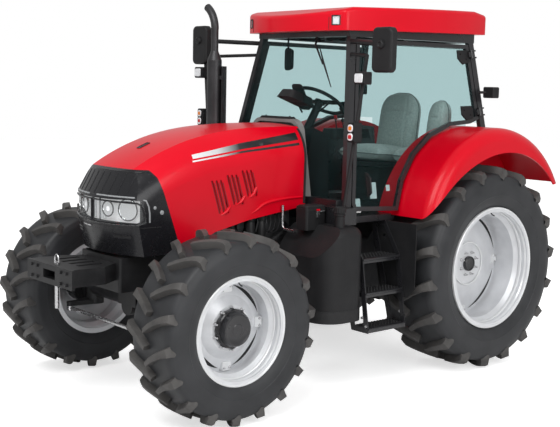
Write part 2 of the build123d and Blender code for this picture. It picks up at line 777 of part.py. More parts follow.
with BuildPart() as hood_hollow:
    add(hood_loft(HOOD_WALL, HOOD_REAR_X - 20, HOOD_NOSE_X, SUPPORT_BOTTOM))
    add(nose_block(HOOD_WALL, HOOD_REAR_X - 50), mode=Mode.INTERSECT)

with BuildPart() as hood_skin:
    add(hood_loft(0, HOOD_REAR_X, HOOD_NOSE_X, SUPPORT_BOTTOM + 50))
    add(nose_block(0, HOOD_REAR_X - 50), mode=Mode.INTERSECT)
    add(hood_hollow.part, mode=Mode.SUBTRACT)
    add(side_prism(sill_points, HOOD_HALF_REAR + 100), mode=Mode.SUBTRACT)

LOUVRE_W = 17
LOUVRE_PITCH = 40
LOUVRE_LEAN = 72
LOUVRE_GROUPS = ((FRONT_X - 347, 1493, 265), (FRONT_X - 485, 1540, 240), (FRONT_X - 620, 1583, 212))
with BuildPart() as hood_panel:
    add(hood_skin.part)
    add(side_prism(nose_points, HOOD_HALF_REAR + 100), mode=Mode.SUBTRACT)
    with BuildSketch(side_plane(0)):
        for group_x, group_z, group_h in LOUVRE_GROUPS:
            with Locations((group_x, group_z)):
                with GridLocations(LOUVRE_PITCH, 1, 3, 1):
                    SlotOverall(group_h, LOUVRE_W, rotation=LOUVRE_LEAN)
    extrude(amount=HOOD_HALF_REAR + 50, both=True, mode=Mode.SUBTRACT)
    lug_y = HOOD_POST_Y + HOOD_POST_T + HOOD_LUG_GAP
    for y_low in (lug_y, -lug_y - HOOD_LUG_T):
        with BuildSketch(side_plane(y_low)):
            with Locations((HOOD_PIVOT_X, HOOD_PIVOT_Z)):
                Circle(HOOD_LUG_R)
                Rectangle(
                    2 * HOOD_LUG_R,
                    hood_top(HOOD_PIVOT_X) - HOOD_PIVOT_Z - HOOD_WALL / 2,
                    align=(Align.CENTER, Align.MIN),
                )
                Circle(HOOD_PIN_R + RUN_GAP, mode=Mode.SUBTRACT)
        extrude(amount=-HOOD_LUG_T)
save(hood_panel, "hood_panel")

lamp_band = side_prism(
    (
        (FRONT_X + 292, LAMP_BOTTOM + 14),
        (FRONT_X + 380, LAMP_BOTTOM),
        (HOOD_NOSE_X + 100, LAMP_BOTTOM - 8),
        (HOOD_NOSE_X + 100, LAMP_TOP - 18),
        (FRONT_X + 370, LAMP_TOP - 4),
        (FRONT_X + 328, LAMP_TOP - 14),
    ),
    HOOD_HALF_REAR + 100,
)
with BuildPart() as headlamps:
    add(hood_skin.part)
    add(lamp_band, mode=Mode.INTERSECT)
    with Locations((HOOD_NOSE_X, 0, LAMP_TOP)):
        Box(HOOD_HALF_REAR, 2 * LAMP_INNER_Y, HOOD_HALF_REAR, mode=Mode.SUBTRACT)
save(headlamps, "headlamps")

with BuildPart() as nose:
    add(hood_skin.part)
    add(side_prism(nose_points, HOOD_HALF_REAR + 100), mode=Mode.INTERSECT)
    add(headlamps.part, mode=Mode.SUBTRACT)
save(nose, "nose_grille")

# Rear fenders: a two-arc crown with a rounded outer shoulder and a skirt down to the lip
FENDER_WALL = 12
FENDER_INNER_Y = 600
FENDER_OUTER_Y = 1180
FENDER_TOP_X = REAR_X - 90
FENDER_TOP_Z = 2010
FENDER_FRONT_R = 895
FENDER_REAR_R = 970
FENDER_FRONT_ANGLE = 12
FENDER_REAR_ANGLE = 150
FENDER_SHOULDER_R = 110
FENDER_SKIRT = 200


def crown_point(angle, grow):
    """Point of the fender's crown at an angle from +X, moved out by grow."""
    radius = FENDER_FRONT_R if angle <= 90 else FENDER_REAR_R
    reach = radius + grow
    return (
        FENDER_TOP_X + reach * cos(radians(angle)),
        FENDER_TOP_Z - radius + reach * sin(radians(angle)),
    )


def fender_block(grow, y_in, y_out, shoulder):
    """Solid filled under the crown, with its outer top edge rounded."""
    front = crown_point(FENDER_FRONT_ANGLE, grow)
    top = crown_point(90, grow)
    rear = crown_point(FENDER_REAR_ANGLE, grow)
    with BuildPart() as block:
        with BuildSketch(side_plane(y_in)):
            with BuildLine():
                ThreePointArc(front, crown_point(50, grow), top)
                ThreePointArc(top, crown_point(120, grow), rear)
                Line(rear, front)
            make_face()
        extrude(amount=y_in - y_out)
        if shoulder:
            outer = block.faces().sort_by(Axis.Y)[-1]
            crown_edges = outer.edges().filter_by(GeomType.CIRCLE)
            fillet(crown_edges, shoulder)
    return block.part


def under_lip(skirt):
    """Space below the fender's lip, open to the wheel's side."""
    front = crown_point(FENDER_FRONT_ANGLE, 0)
    with BuildPart() as space:
        with BuildSketch(side_plane(FENDER_INNER_Y + FENDER_WALL)):
            with BuildLine():
                lip_mid = crown_point(62, -skirt)
                lip_top = crown_point(95, -skirt)
                lip_rear = crown_point(FENDER_REAR_ANGLE, -0.5 * skirt)
                Spline(front, lip_mid, lip_top, lip_rear)
                Polyline(
                    lip_rear,
                    (lip_rear[0] - 200, lip_rear[1] - 200),
                    (lip_rear[0] - 200, front[1] - 300),
                    (front[0] + 200, front[1] - 300),
                    front,
                )
            make_face()
        extrude(amount=-700)
    return space.part


with BuildPart() as fender_left:
    add(fender_block(0, FENDER_INNER_Y, FENDER_OUTER_Y, FENDER_SHOULDER_R))
    add(
        fender_block(
            -FENDER_WALL,
            FENDER_INNER_Y + FENDER_WALL,
            FENDER_OUTER_Y - FENDER_WALL,
            FENDER_SHOULDER_R - FENDER_WALL,
        ),
        mode=Mode.SUBTRACT,
    )
    add(under_lip(FENDER_SKIRT), mode=Mode.SUBTRACT)
save(fender_left, "fender_left")
save(on_right(fender_left.part), "fender_right")

# Cab: floor tub, welded frame, roof and glass
FLOOR_TOP = 1320
FLOOR_T = 50
CAB_BACK_X = REAR_X - 380
SILL_FRONT_X = REAR_X + 1400
SILL_REAR_X = REAR_X + 840
SILL_HALF = 800
TUB_HALF = FENDER_INNER_Y
TUB_WALL = 26
EAR_FRONT_X = REAR_X + 1460
EAR_HALF = 880
EAR_TOP = 1400
COWL_TOP = 1450
A_POST_X = REAR_X + 1342
A_POST_Y = 785
A_POST_Z = 1420
A_LEAN_X = 0.17
A_LEAN_Y = 0.172
C_POST_X = REAR_X - 320
C_POST_Y = 788
C_POST_Z = 2020
C_LEAN_X = 0.066
C_LEAN_Y = 0.188
POST_DEPTH = 58
POST_WIDTH = 45
HEADER_BOTTOM = 2720
HEADER_TOP = 2800
HEADER_WIDTH = 75
REAR_GLASS_BOTTOM = 1600


def a_post(z):
    """Front outer edge of the A-post at height z."""
    return (A_POST_X - A_LEAN_X * (z - A_POST_Z), A_POST_Y - A_LEAN_Y * (z - A_POST_Z))


def c_post(z):
    """Rear outer edge of the C-post at height z."""
    return (C_POST_X + C_LEAN_X * (z - C_POST_Z), C_POST_Y - C_LEAN_Y * (z - C_POST_Z))


DOOR_GAP = 9
HINGE_OUT = 18
HINGE_PIN_R = 8
HINGE_SLEEVE_R = 14
HINGE_SLEEVE_L = 44
HINGE_KNUCKLE_L = 14
HINGE_HEIGHTS = (2130, 2620)

door_low = Vector(*a_post(A_POST_Z), A_POST_Z)
door_high = Vector(*a_post(HEADER_TOP), HEADER_TOP)
door_back = Vector(*c_post(C_POST_Z), C_POST_Z)
door_normal = (door_low - door_back).cross(door_high - door_back).normalized()
if door_normal.Y < 0:
    door_normal = door_normal * -1
DOOR_FACE = Plane(origin=door_low, x_dir=door_back - door_low, z_dir=door_normal)


def on_door(x, z):
    """Point of the door's outer face at the given x and z, in the face's own coordinates."""
    y = door_low.Y - (
        door_normal.X * (x - door_low.X) + door_normal.Z * (z - door_low.Z)
    ) / door_normal.Y
    local = DOOR_FACE.to_local_coords(Vector(x, y, z))
    return (local.X, local.Y)


def hinge_plane(z):
    """Plane across the door's hinge axis at height z: local x runs forward and y outboard."""
    at = DOOR_FACE.from_local_coords(Vector(*on_door(c_post(z)[0] + POST_DEPTH + DOOR_GAP / 2, z), HINGE_OUT))
    axis = Vector(C_LEAN_X, -C_LEAN_Y, 1)
    return Plane(origin=at, x_dir=DOOR_FACE.x_dir * -1, z_dir=axis)


with BuildPart() as cab_tub:
    with BuildSketch(Plane.XY.offset(FLOOR_TOP - FLOOR_T)):
        with BuildLine():
            Polyline(
                (CAB_BACK_X, TUB_HALF),
                (SILL_REAR_X, TUB_HALF),
                (SILL_REAR_X, SILL_HALF),
                (SILL_FRONT_X, SILL_HALF),
                (SILL_FRONT_X, -SILL_HALF),
                (SILL_REAR_X, -SILL_HALF),
                (SILL_REAR_X, -TUB_HALF),
                (CAB_BACK_X, -TUB_HALF),
                close=True,
            )
        make_face()
    extrude(amount=FLOOR_T)
    with Locations((SILL_FRONT_X - 55, 0, FLOOR_TOP)):
        Box(55, 2 * A_POST_Y - 90, COWL_TOP - FLOOR_TOP, align=(Align.MIN, Align.CENTER, Align.MIN))
    for sign in (1, -1):
        with Locations((EAR_FRONT_X, sign * EAR_HALF, FLOOR_TOP - FLOOR_T)):
            Box(
                EAR_FRONT_X - A_POST_X + 30,
                EAR_HALF - 600,
                EAR_TOP - FLOOR_TOP + FLOOR_T,
                align=(Align.MAX, Align.MAX if sign > 0 else Align.MIN, Align.MIN),
            )
    with BuildSketch(side_plane(TUB_HALF)):
        with BuildLine():
            Polyline(
                (CAB_BACK_X, FLOOR_TOP),
                crown_point(18, -40),
                crown_point(40, -40),
                crown_point(65, -40),
                crown_point(90, -40),
                (c_post(1960)[0] - 20, crown_point(103, -40)[1]),
                (CAB_BACK_X, REAR_GLASS_BOTTOM),
                close=True,
            )
        make_face()
    extrude(amount=TUB_WALL)
    with BuildSketch(side_plane(-TUB_HALF)):
        with BuildLine():
            Polyline(
                (CAB_BACK_X, FLOOR_TOP),
                crown_point(18, -40),
                crown_point(40, -40),
                crown_point(65, -40),
                crown_point(90, -40),
                (c_post(1960)[0] - 20, crown_point(103, -40)[1]),
                (CAB_BACK_X, REAR_GLASS_BOTTOM),
                close=True,
            )
        make_face()
    extrude(amount=-TUB_WALL)
    with Locations((CAB_BACK_X, 0, FLOOR_TOP)):
        Box(
            30,
            2 * TUB_HALF,
            REAR_GLASS_BOTTOM - FLOOR_TOP,
            align=(Align.MIN, Align.CENTER, Align.MIN),
        )
save(cab_tub, "cab_tub")

HOOP_GAP = 32
HOOP_T = 60
HOOP_HALF_LOW = 395
HOOP_HALF_TOP = 285
HOOP_RISE = 55
HOOP_CORNER_R = 120
HOOP_RIM = 30
HOOP_PLATE_T = 8
HOOP_BACK_X = HOOD_REAR_X - HOOP_GAP - HOOP_T
HOOP_TOP = HOOD_TOP_REAR + HOOP_RISE


def hoop_outline(inset):
    """Closed outline of the firewall hoop across the machine, taken in by inset."""
    with BuildSketch(Plane.XY) as outline:
        with BuildLine():
            Polyline(
                (-HOOP_HALF_LOW + inset, COWL_TOP + inset),
                (HOOP_HALF_LOW - inset, COWL_TOP + inset),
                (HOOP_HALF_TOP - inset, HOOP_TOP - inset),
                (-HOOP_HALF_TOP + inset, HOOP_TOP - inset),
                close=True,
            )
        make_face()
        fillet(outline.vertices().group_by(Axis.Y)[-1], HOOP_CORNER_R - inset)
    return outline.sketch


with BuildPart() as firewall_hoop:
    with BuildSketch(cross_plane(HOOP_BACK_X)):
        add(hoop_outline(0))
    extrude(amount=HOOP_T)
    with BuildSketch(cross_plane(HOOP_BACK_X + HOOP_PLATE_T)):
        add(hoop_outline(HOOP_RIM))
    extrude(amount=HOOP_T, mode=Mode.SUBTRACT)
save(firewall_hoop, "firewall_hoop")

def header_outline(grow):
    """Closed outline of the header ring in plan, moved out by grow."""
    front_x, front_y = a_post(HEADER_BOTTOM)
    rear_x, rear_y = c_post(HEADER_BOTTOM)
    with BuildSketch(Plane.XY) as outline:
        with BuildLine():
            Polyline(
                (front_x + 10 + grow, front_y + grow),
                (rear_x - 10 - grow, rear_y + grow),
                (rear_x - 10 - grow, -rear_y - grow),
                (front_x + 10 + grow, -front_y - grow),
                close=True,
            )
        make_face()
    return outline.sketch


with BuildPart() as cab_frame:
    for z in (EAR_TOP, HEADER_TOP):
        x, y = a_post(z)
        with BuildSketch(Plane.XY.offset(z)):
            with BuildLine():
                Polyline(
                    (x, y),
                    (x - POST_DEPTH, y + 4),
                    (x - POST_DEPTH, y - POST_WIDTH),
                    (x, y - POST_WIDTH),
                    close=True,
                )
            make_face()
    loft()
    for z in (FENDER_TOP_Z - 60, HEADER_TOP):
        x, y = c_post(z)
        with BuildSketch(Plane.XY.offset(z)):
            with BuildLine():
                Polyline(
                    (x, y),
                    (x + POST_DEPTH, y - 4),
                    (x + POST_DEPTH, y - POST_WIDTH),
                    (x, y - POST_WIDTH),
                    close=True,
                )
            make_face()
    loft()
    add(fender_block(RUN_GAP, FENDER_INNER_Y, FENDER_OUTER_Y, 0), mode=Mode.SUBTRACT)
    for hinge_z in HINGE_HEIGHTS:
        across = hinge_plane(hinge_z)
        with BuildSketch(across.offset(-HINGE_SLEEVE_L / 2 - HINGE_KNUCKLE_L)):
            Circle(HINGE_PIN_R)
        extrude(amount=HINGE_SLEEVE_L + 2 * HINGE_KNUCKLE_L)
        for low in (-HINGE_SLEEVE_L / 2 - HINGE_KNUCKLE_L, HINGE_SLEEVE_L / 2 + 1):
            with BuildSketch(across.offset(low)):
                Circle(HINGE_SLEEVE_R)
                with Locations((-30, -HINGE_OUT / 2)):
                    Rectangle(48, HINGE_OUT + 10)
            extrude(amount=HINGE_KNUCKLE_L - 1)
    mirror(about=Plane.XZ)
    with BuildSketch(Plane.XY.offset(HEADER_BOTTOM)):
        add(header_outline(0))
        add(header_outline(-HEADER_WIDTH), mode=Mode.SUBTRACT)
    extrude(amount=HEADER_TOP - HEADER_BOTTOM)
save(cab_frame, "cab_frame")

ROOF_RISE = 190
ROOF_CREASE_RISE = 145
ROOF_BROW_RISE = 85
ROOF_SKIRT = 43
ROOF_FRONT_X = REAR_X + 1360
ROOF_CORNER_X = REAR_X + 1210
ROOF_CREASE_X = REAR_X + 1130
ROOF_REAR_X = REAR_X - 450
ROOF_FRONT_HALF = 600
ROOF_MID_HALF = 730
ROOF_REAR_HALF = 660
ROOF_WALL = 45
ROOF_CORNER_R = 60
ROOF_EDGE_R = 32
ROOF_GAP = 4
ROOF_LAMP_W = 170
ROOF_LAMP_H = 78

with BuildPart() as roof_block:
    with BuildSketch(Plane.XY.offset(HEADER_TOP - ROOF_SKIRT)):
        with BuildLine():
            roof_side = ThreePointArc(
                (ROOF_REAR_X, ROOF_REAR_HALF),
                ((ROOF_REAR_X + ROOF_CORNER_X) / 2, ROOF_MID_HALF),
                (ROOF_CORNER_X, ROOF_FRONT_HALF),
            )
            mirror(roof_side, about=Plane.XZ)
            ThreePointArc(
                (ROOF_CORNER_X, ROOF_FRONT_HALF),
                (ROOF_FRONT_X, 0),
                (ROOF_CORNER_X, -ROOF_FRONT_HALF),
            )
            Line((ROOF_REAR_X, ROOF_REAR_HALF), (ROOF_REAR_X, -ROOF_REAR_HALF))
        make_face()
    extrude(amount=ROOF_RISE + ROOF_SKIRT)
    fillet(roof_block.edges().filter_by(Axis.Z), ROOF_CORNER_R)
    add(
        side_prism(
            (
                (ROOF_FRONT_X + 1, HEADER_TOP - ROOF_SKIRT),
                (ROOF_FRONT_X + 1, HEADER_TOP + ROOF_BROW_RISE),
                (ROOF_CREASE_X, HEADER_TOP + ROOF_CREASE_RISE),
                (ROOF_REAR_X + 200, HEADER_TOP + ROOF_RISE),
                (ROOF_REAR_X - 1, HEADER_TOP + ROOF_RISE - 25),
                (ROOF_REAR_X - 1, HEADER_TOP),
            ),
            ROOF_MID_HALF + 1,
        ),
        mode=Mode.INTERSECT,
    )
    roof_tops = roof_block.faces().filter_by(lambda face: face.normal_at().Z > 0.5)
    fillet(roof_tops.edges(), ROOF_EDGE_R)

with BuildPart() as roof_lamps:
    add(roof_block.part)
    with Locations(
        (ROOF_FRONT_X, ROOF_FRONT_HALF - 30, HEADER_TOP),
        (ROOF_FRONT_X, -ROOF_FRONT_HALF + 30, HEADER_TOP),
    ):
        Box(
            2 * (ROOF_FRONT_X - ROOF_CORNER_X) - 40,
            ROOF_LAMP_W,
            ROOF_LAMP_H,
            align=(Align.CENTER, Align.CENTER, Align.MIN),
            mode=Mode.INTERSECT,
        )
save(roof_lamps, "roof_lamps")

with BuildPart() as roof:
    add(roof_block.part)
    add(roof_lamps.part, mode=Mode.SUBTRACT)
    with BuildSketch(Plane.XY.offset(HEADER_TOP)):
        add(header_outline(ROOF_GAP))
    extrude(amount=-2 * ROOF_SKIRT, mode=Mode.SUBTRACT)
    with BuildSketch(Plane.XY.offset(HEADER_TOP)):
        add(header_outline(-HEADER_WIDTH - 10))
    extrude(amount=ROOF_CREASE_RISE - ROOF_WALL, mode=Mode.SUBTRACT)
save(roof, "roof")

# Doors: flat framed panes that swing on the C-post, and the fixed glass
DOOR_T = 34
DOOR_RAIL = 34
DOOR_FENDER_GAP = 25
DOOR_BOTTOM_FRONT = 1365
DOOR_BOTTOM_REAR = 1335
DOOR_TOP = HEADER_BOTTOM - 16
DOOR_RISE_Z = 2070
GLASS_T = 6
GLASS_GAP = 0.3

def door_front(z):
    """The door's front edge, just behind the A-post."""
    return on_door(a_post(z)[0] - POST_DEPTH - DOOR_GAP, z)


def door_rear(z):
    """The door's rear edge, just ahead of the C-post."""
    return on_door(c_post(z)[0] + POST_DEPTH + DOOR_GAP, z)


def door_outline(inset):
    """Closed outline of the door on its face, taken in by inset."""
    with BuildSketch(Plane.XY) as outline:
        with BuildLine():
            Polyline(
                on_door(*crown_point(14.5, DOOR_FENDER_GAP)),
                on_door(a_post(DOOR_BOTTOM_FRONT)[0] - POST_DEPTH - DOOR_GAP - 25, DOOR_BOTTOM_FRONT),
                door_front(DOOR_BOTTOM_FRONT + 60),
                door_front(DOOR_TOP),
                door_rear(DOOR_TOP),
                door_rear(DOOR_RISE_Z),
                on_door(*crown_point(93, DOOR_FENDER_GAP)),
                on_door(*crown_point(78, DOOR_FENDER_GAP)),
                on_door(*crown_point(62, DOOR_FENDER_GAP)),
                on_door(*crown_point(46, DOOR_FENDER_GAP)),
                on_door(*crown_point(30, DOOR_FENDER_GAP)),
                close=True,
            )
        make_face()
        if inset:
            offset(amount=-inset, kind=Kind.INTERSECTION)
    return outline.sketch


with BuildPart() as door_left:
    with BuildSketch(DOOR_FACE):
        add(door_outline(0))
        add(door_outline(DOOR_RAIL), mode=Mode.SUBTRACT)
    extrude(amount=-DOOR_T)
    for hinge_z in HINGE_HEIGHTS:
        with BuildSketch(hinge_plane(hinge_z).offset(-HINGE_SLEEVE_L / 2)):
            Circle(HINGE_SLEEVE_R)
            with Locations((HINGE_SLEEVE_R + 6, -HINGE_OUT / 2)):
                Rectangle(28, HINGE_OUT + 8)
            Circle(HINGE_PIN_R + RUN_GAP, mode=Mode.SUBTRACT)
        extrude(amount=HINGE_SLEEVE_L)
save(door_left, "door_frame_left")
save(on_right(door_left.part), "door_frame_right")

with BuildPart() as door_glass_left:
    with BuildSketch(DOOR_FACE.offset(-DOOR_T / 3)):
        add(door_outline(DOOR_RAIL + GLASS_GAP))
    extrude(amount=-GLASS_T)
save(door_glass_left, "door_glass_left")
save(on_right(door_glass_left.part), "door_glass_right")

SCREEN_PLANE = Plane(
    origin=(a_post(COWL_TOP)[0] - 18, 0, COWL_TOP),
    x_dir=(0, 1, 0),
    z_dir=(1, 0, A_LEAN_X),
)
screen_height = (HEADER_BOTTOM - COWL_TOP) * sqrt(1 + A_LEAN_X**2)
screen_low = a_post(COWL_TOP)[1] - POST_WIDTH - GLASS_GAP
screen_high = a_post(HEADER_BOTTOM)[1] - POST_WIDTH - GLASS_GAP
with BuildPart() as windscreen:
    with BuildSketch(SCREEN_PLANE):
        with BuildLine():
            Polyline(
                (-screen_low, GLASS_GAP),
                (screen_low, GLASS_GAP),
                (screen_high, screen_height - GLASS_GAP),
                (-screen_high, screen_height - GLASS_GAP),
                close=True,
            )
        make_face()
    extrude(amount=-GLASS_T)
save(windscreen, "windscreen")

REAR_PLANE = Plane(
    origin=(c_post(REAR_GLASS_BOTTOM)[0], 0, REAR_GLASS_BOTTOM),
    x_dir=(0, -1, 0),
    z_dir=(-1, 0, C_LEAN_X),
)
rear_rise = sqrt(1 + C_LEAN_X**2)
rear_height = (HEADER_BOTTOM - REAR_GLASS_BOTTOM) * rear_rise
rear_step = (FENDER_TOP_Z + 25 - REAR_GLASS_BOTTOM) * rear_rise
rear_low = TUB_HALF - TUB_WALL - GLASS_GAP
rear_mid = c_post(FENDER_TOP_Z + 25)[1] - POST_WIDTH - 6
rear_high = c_post(HEADER_BOTTOM)[1] - POST_WIDTH - 6
with BuildPart() as rear_window:
    with BuildSketch(REAR_PLANE):
        with BuildLine():
            Polyline(
                (-rear_low, GLASS_GAP),
                (rear_low, GLASS_GAP),
                (rear_low, rear_step),
                (rear_mid, rear_step),
                (rear_high, rear_height - GLASS_GAP),
                (-rear_high, rear_height - GLASS_GAP),
                (-rear_mid, rear_step),
                (-rear_low, rear_step),
                close=True,
            )
        make_face()
    extrude(amount=-GLASS_T)
save(rear_window, "rear_window")

# Cab fittings: dash and column, steering wheel and two seats
DASH_X = REAR_X + 1060
DASH_DEPTH = 210
DASH_HALF = 170
DASH_TOP = 1980
STEER_X = REAR_X + 905
STEER_Z = 2200
STEER_TILT = 32
STEER_RING_R = 200
STEER_TUBE_R = 16
COLUMN_R = 34
COLUMN_LENGTH = 340
STEER_PLANE = Plane(
    origin=(STEER_X, 0, STEER_Z),
    x_dir=(0, 1, 0),
    z_dir=(-sin(radians(STEER_TILT)), 0, cos(radians(STEER_TILT))),
)
with BuildPart() as dash:
    with BuildSketch(side_plane(0)):
        with BuildLine():
            Polyline(
                (DASH_X - 0.6 * DASH_DEPTH, FLOOR_TOP),
                (SILL_FRONT_X - 120, FLOOR_TOP),
                (SILL_FRONT_X - 120, FLOOR_TOP + 60),
                (DASH_X + 0.45 * DASH_DEPTH, DASH_TOP - 60),
                (DASH_X + 0.3 * DASH_DEPTH, DASH_TOP),
                (DASH_X - 0.45 * DASH_DEPTH, DASH_TOP - 60),
                close=True,
            )
        make_face()
    extrude(amount=DASH_HALF, both=True)
    with BuildSketch(STEER_PLANE.offset(-20)):
        Circle(COLUMN_R)
    extrude(amount=-COLUMN_LENGTH)
save(dash, "dash_console")

with BuildPart() as steering_wheel:
    with BuildSketch(Plane(origin=STEER_PLANE.origin, x_dir=STEER_PLANE.x_dir, z_dir=STEER_PLANE.y_dir)):
        with Locations((STEER_RING_R, 0)):
            RegularPolygon(STEER_TUBE_R, 8)
    revolve(axis=Axis(STEER_PLANE.origin, STEER_PLANE.z_dir))
    with BuildSketch(STEER_PLANE.offset(-20)):
        Circle(48)
        Rectangle(2 * STEER_RING_R, 44)
    extrude(amount=16)
save(steering_wheel, "steering_wheel")

SEAT_X = REAR_X + 130
SEAT_Z = 1790
SEAT_HALF = 245
SEAT_TOP = 2290
with BuildPart() as driver_seat:
    with Locations((SEAT_X + 60, 0, FLOOR_TOP)):
        Box(380, 330, SEAT_Z - FLOOR_TOP - 130, align=(Align.CENTER, Align.CENTER, Align.MIN))
    with Locations((SEAT_X + 60, 0, SEAT_Z)):
        Box(500, 2 * SEAT_HALF, 130, align=(Align.CENTER, Align.CENTER, Align.MAX))
    with BuildSketch(side_plane(0)):
        with BuildLine():
            Polyline(
                (SEAT_X - 190, SEAT_Z - 100),
                (SEAT_X - 60, SEAT_Z - 100),
                (SEAT_X - 110, SEAT_TOP),
                (SEAT_X - 210, SEAT_TOP),
                (SEAT_X - 290, SEAT_Z + 60),
                close=True,
            )
        make_face()
    extrude(amount=SEAT_HALF - 15, both=True)
save(driver_seat, "driver_seat")

PASSENGER_IN_Y = 335
PASSENGER_OUT_Y = 560
with BuildPart() as passenger_seat:
    with BuildSketch(side_plane(PASSENGER_IN_Y)):
        with BuildLine():
            Polyline(
                (SEAT_X - 150, FLOOR_TOP),
                (SEAT_X + 110, FLOOR_TOP),
                (SEAT_X + 200, SEAT_Z - 60),
                (SEAT_X + 200, SEAT_Z),
                (SEAT_X - 60, SEAT_Z),
                (SEAT_X - 90, SEAT_TOP - 20),
                (SEAT_X - 170, SEAT_TOP - 20),
                (SEAT_X - 150, SEAT_Z),
                close=True,
            )
        make_face()
    extrude(amount=PASSENGER_IN_Y - PASSENGER_OUT_Y)
save(passenger_seat, "passenger_seat")

# Steps, tank, boxes and splash plates hung along the sides
STEP_FRONT_X = REAR_X + 1320
STEP_REAR_X = REAR_X + 900
STEP_PLATE_T = 8
STEP_TOP_Z = FLOOR_TOP - FLOOR_T
TREAD_T = 32
TREADS = ((480, 870, 1050), (750, 820, 1010), (1010, 760, 970))
with BuildPart() as steps_left:
    for x in (STEP_REAR_X, STEP_FRONT_X - STEP_PLATE_T):
        with BuildSketch(cross_plane(x)):
            with BuildLine():
                Polyline(
                    (640, STEP_TOP_Z),
                    (800, STEP_TOP_Z),
                    (970, 1010),
                    (1010, 750),
                    (1050, 480),
                    (1050, 445),
                    (870, 445),
                    close=True,
                )
            make_face()
            with BuildLine():
                Polyline(
                    (705, STEP_TOP_Z - 45),
                    (790, STEP_TOP_Z - 45),
                    (925, 1012),
                    (965, 750),
                    (1002, 490),
                    (905, 490),
                    close=True,
                )
            make_face(mode=Mode.SUBTRACT)
        extrude(amount=STEP_PLATE_T)
    for tread_top, tread_in, tread_out in TREADS:
        with Locations(((STEP_REAR_X + STEP_FRONT_X) / 2, tread_in, tread_top)):
            Box(
                STEP_FRONT_X - STEP_REAR_X - STEP_PLATE_T,
                tread_out - tread_in,
                TREAD_T,
                align=(Align.CENTER, Align.MIN, Align.MAX),
            )
save(steps_left, "steps_left")
save(on_right(steps_left.part), "steps_right")

SPLASH_T = 8
with BuildPart() as splash_left:
    with BuildSketch(cross_plane(STEP_REAR_X - SPLASH_T)):
        with BuildLine():
            Polyline(
                (640, STEP_TOP_Z),
                (800, STEP_TOP_Z),
                (1130, STEP_TOP_Z),
                (1130, 760),
                (1060, 680),
                (760, 680),
                close=True,
            )
        make_face()
    extrude(amount=SPLASH_T)
save(splash_left, "splash_left")
save(on_right(splash_left.part), "splash_right")

TANK_REAR_X = STEP_FRONT_X
TANK_FRONT_X = REAR_X + 1720
TANK_IN_Y = 420
TANK_OUT_Y = 1000
TANK_BOTTOM = 545
TANK_TOP = STEP_TOP_Z
TANK_CORNER_R = 190
TANK_TOP_R = 75
TANK_SLOPE_X = TANK_REAR_X + 235
TANK_SLOPE_DROP = 230
TANK_NECK_R = 38
TANK_NECK_H = 115
TANK_CAP_R = 46
TANK_CAP_H = 38
TANK_NECK_X = EAR_FRONT_X + TANK_CAP_R + 8
TANK_NECK_Y = TANK_OUT_Y - 95
BRACKET_W = 60
with BuildPart() as fuel_tank:
    with BuildSketch(Plane.XY.offset(TANK_BOTTOM)) as tank_plan:
        with Locations((TANK_REAR_X, TANK_IN_Y)):
            Rectangle(TANK_FRONT_X - TANK_REAR_X, TANK_OUT_Y - TANK_IN_Y, align=(Align.MIN, Align.MIN))
        outer_front = tank_plan.vertices().sort_by(lambda v: v.X + v.Y)[-1]
        fillet(outer_front, TANK_CORNER_R)
        outer_rear = tank_plan.vertices().sort_by(lambda v: v.Y - v.X)[-1]
        fillet(outer_rear, 0.45 * TANK_CORNER_R)
    extrude(amount=TANK_TOP - TANK_BOTTOM)
    fillet(fuel_tank.faces().sort_by(Axis.Z)[-1].edges(), TANK_TOP_R)
    with BuildSketch(side_plane(TANK_IN_Y)):
        with BuildLine():
            Polyline(
                (TANK_SLOPE_X, TANK_TOP + 1),
                (TANK_FRONT_X + 1, TANK_TOP + 1),
                (TANK_FRONT_X + 1, TANK_TOP - TANK_SLOPE_DROP),
                close=True,
            )
        make_face()
    extrude(amount=TANK_IN_Y - TANK_OUT_Y, mode=Mode.SUBTRACT)
    with Locations((TANK_NECK_X, TANK_NECK_Y, TANK_TOP - 60)):
        Cylinder(TANK_NECK_R, TANK_NECK_H + 60, align=(Align.CENTER, Align.CENTER, Align.MIN))
    with Locations((TANK_NECK_X, TANK_NECK_Y, TANK_TOP + TANK_NECK_H)):
        Cylinder(TANK_CAP_R, TANK_CAP_H, align=(Align.CENTER, Align.CENTER, Align.MIN))
    with Locations((BELL_X - BRACKET_W - 10, BACKBONE_HALF, 800)):
        Box(
            BRACKET_W,
            TANK_IN_Y - BACKBONE_HALF + 40,
            90,
            align=(Align.MIN, Align.MIN, Align.CENTER),
        )
save(fuel_tank, "fuel_tank")

BATTERY_TOP = 1000
with BuildPart() as battery_box:
    with BuildSketch(cross_plane(TANK_REAR_X)):
        with BuildLine():
            Polyline(
                (-TANK_IN_Y, TANK_BOTTOM),
                (-TANK_OUT_Y + 100, TANK_BOTTOM),
                (-TANK_OUT_Y, TANK_BOTTOM + 100),
                (-TANK_OUT_Y, BATTERY_TOP),
                (-TANK_IN_Y, BATTERY_TOP),
                close=True,
            )
        make_face()
    extrude(amount=TANK_FRONT_X - TANK_REAR_X)
    with Locations((BELL_X - BRACKET_W - 10, -BACKBONE_HALF, 800)):
        Box(
            BRACKET_W,
            TANK_IN_Y - BACKBONE_HALF + 40,
            90,
            align=(Align.MIN, Align.MAX, Align.CENTER),
        )
save(battery_box, "battery_box")

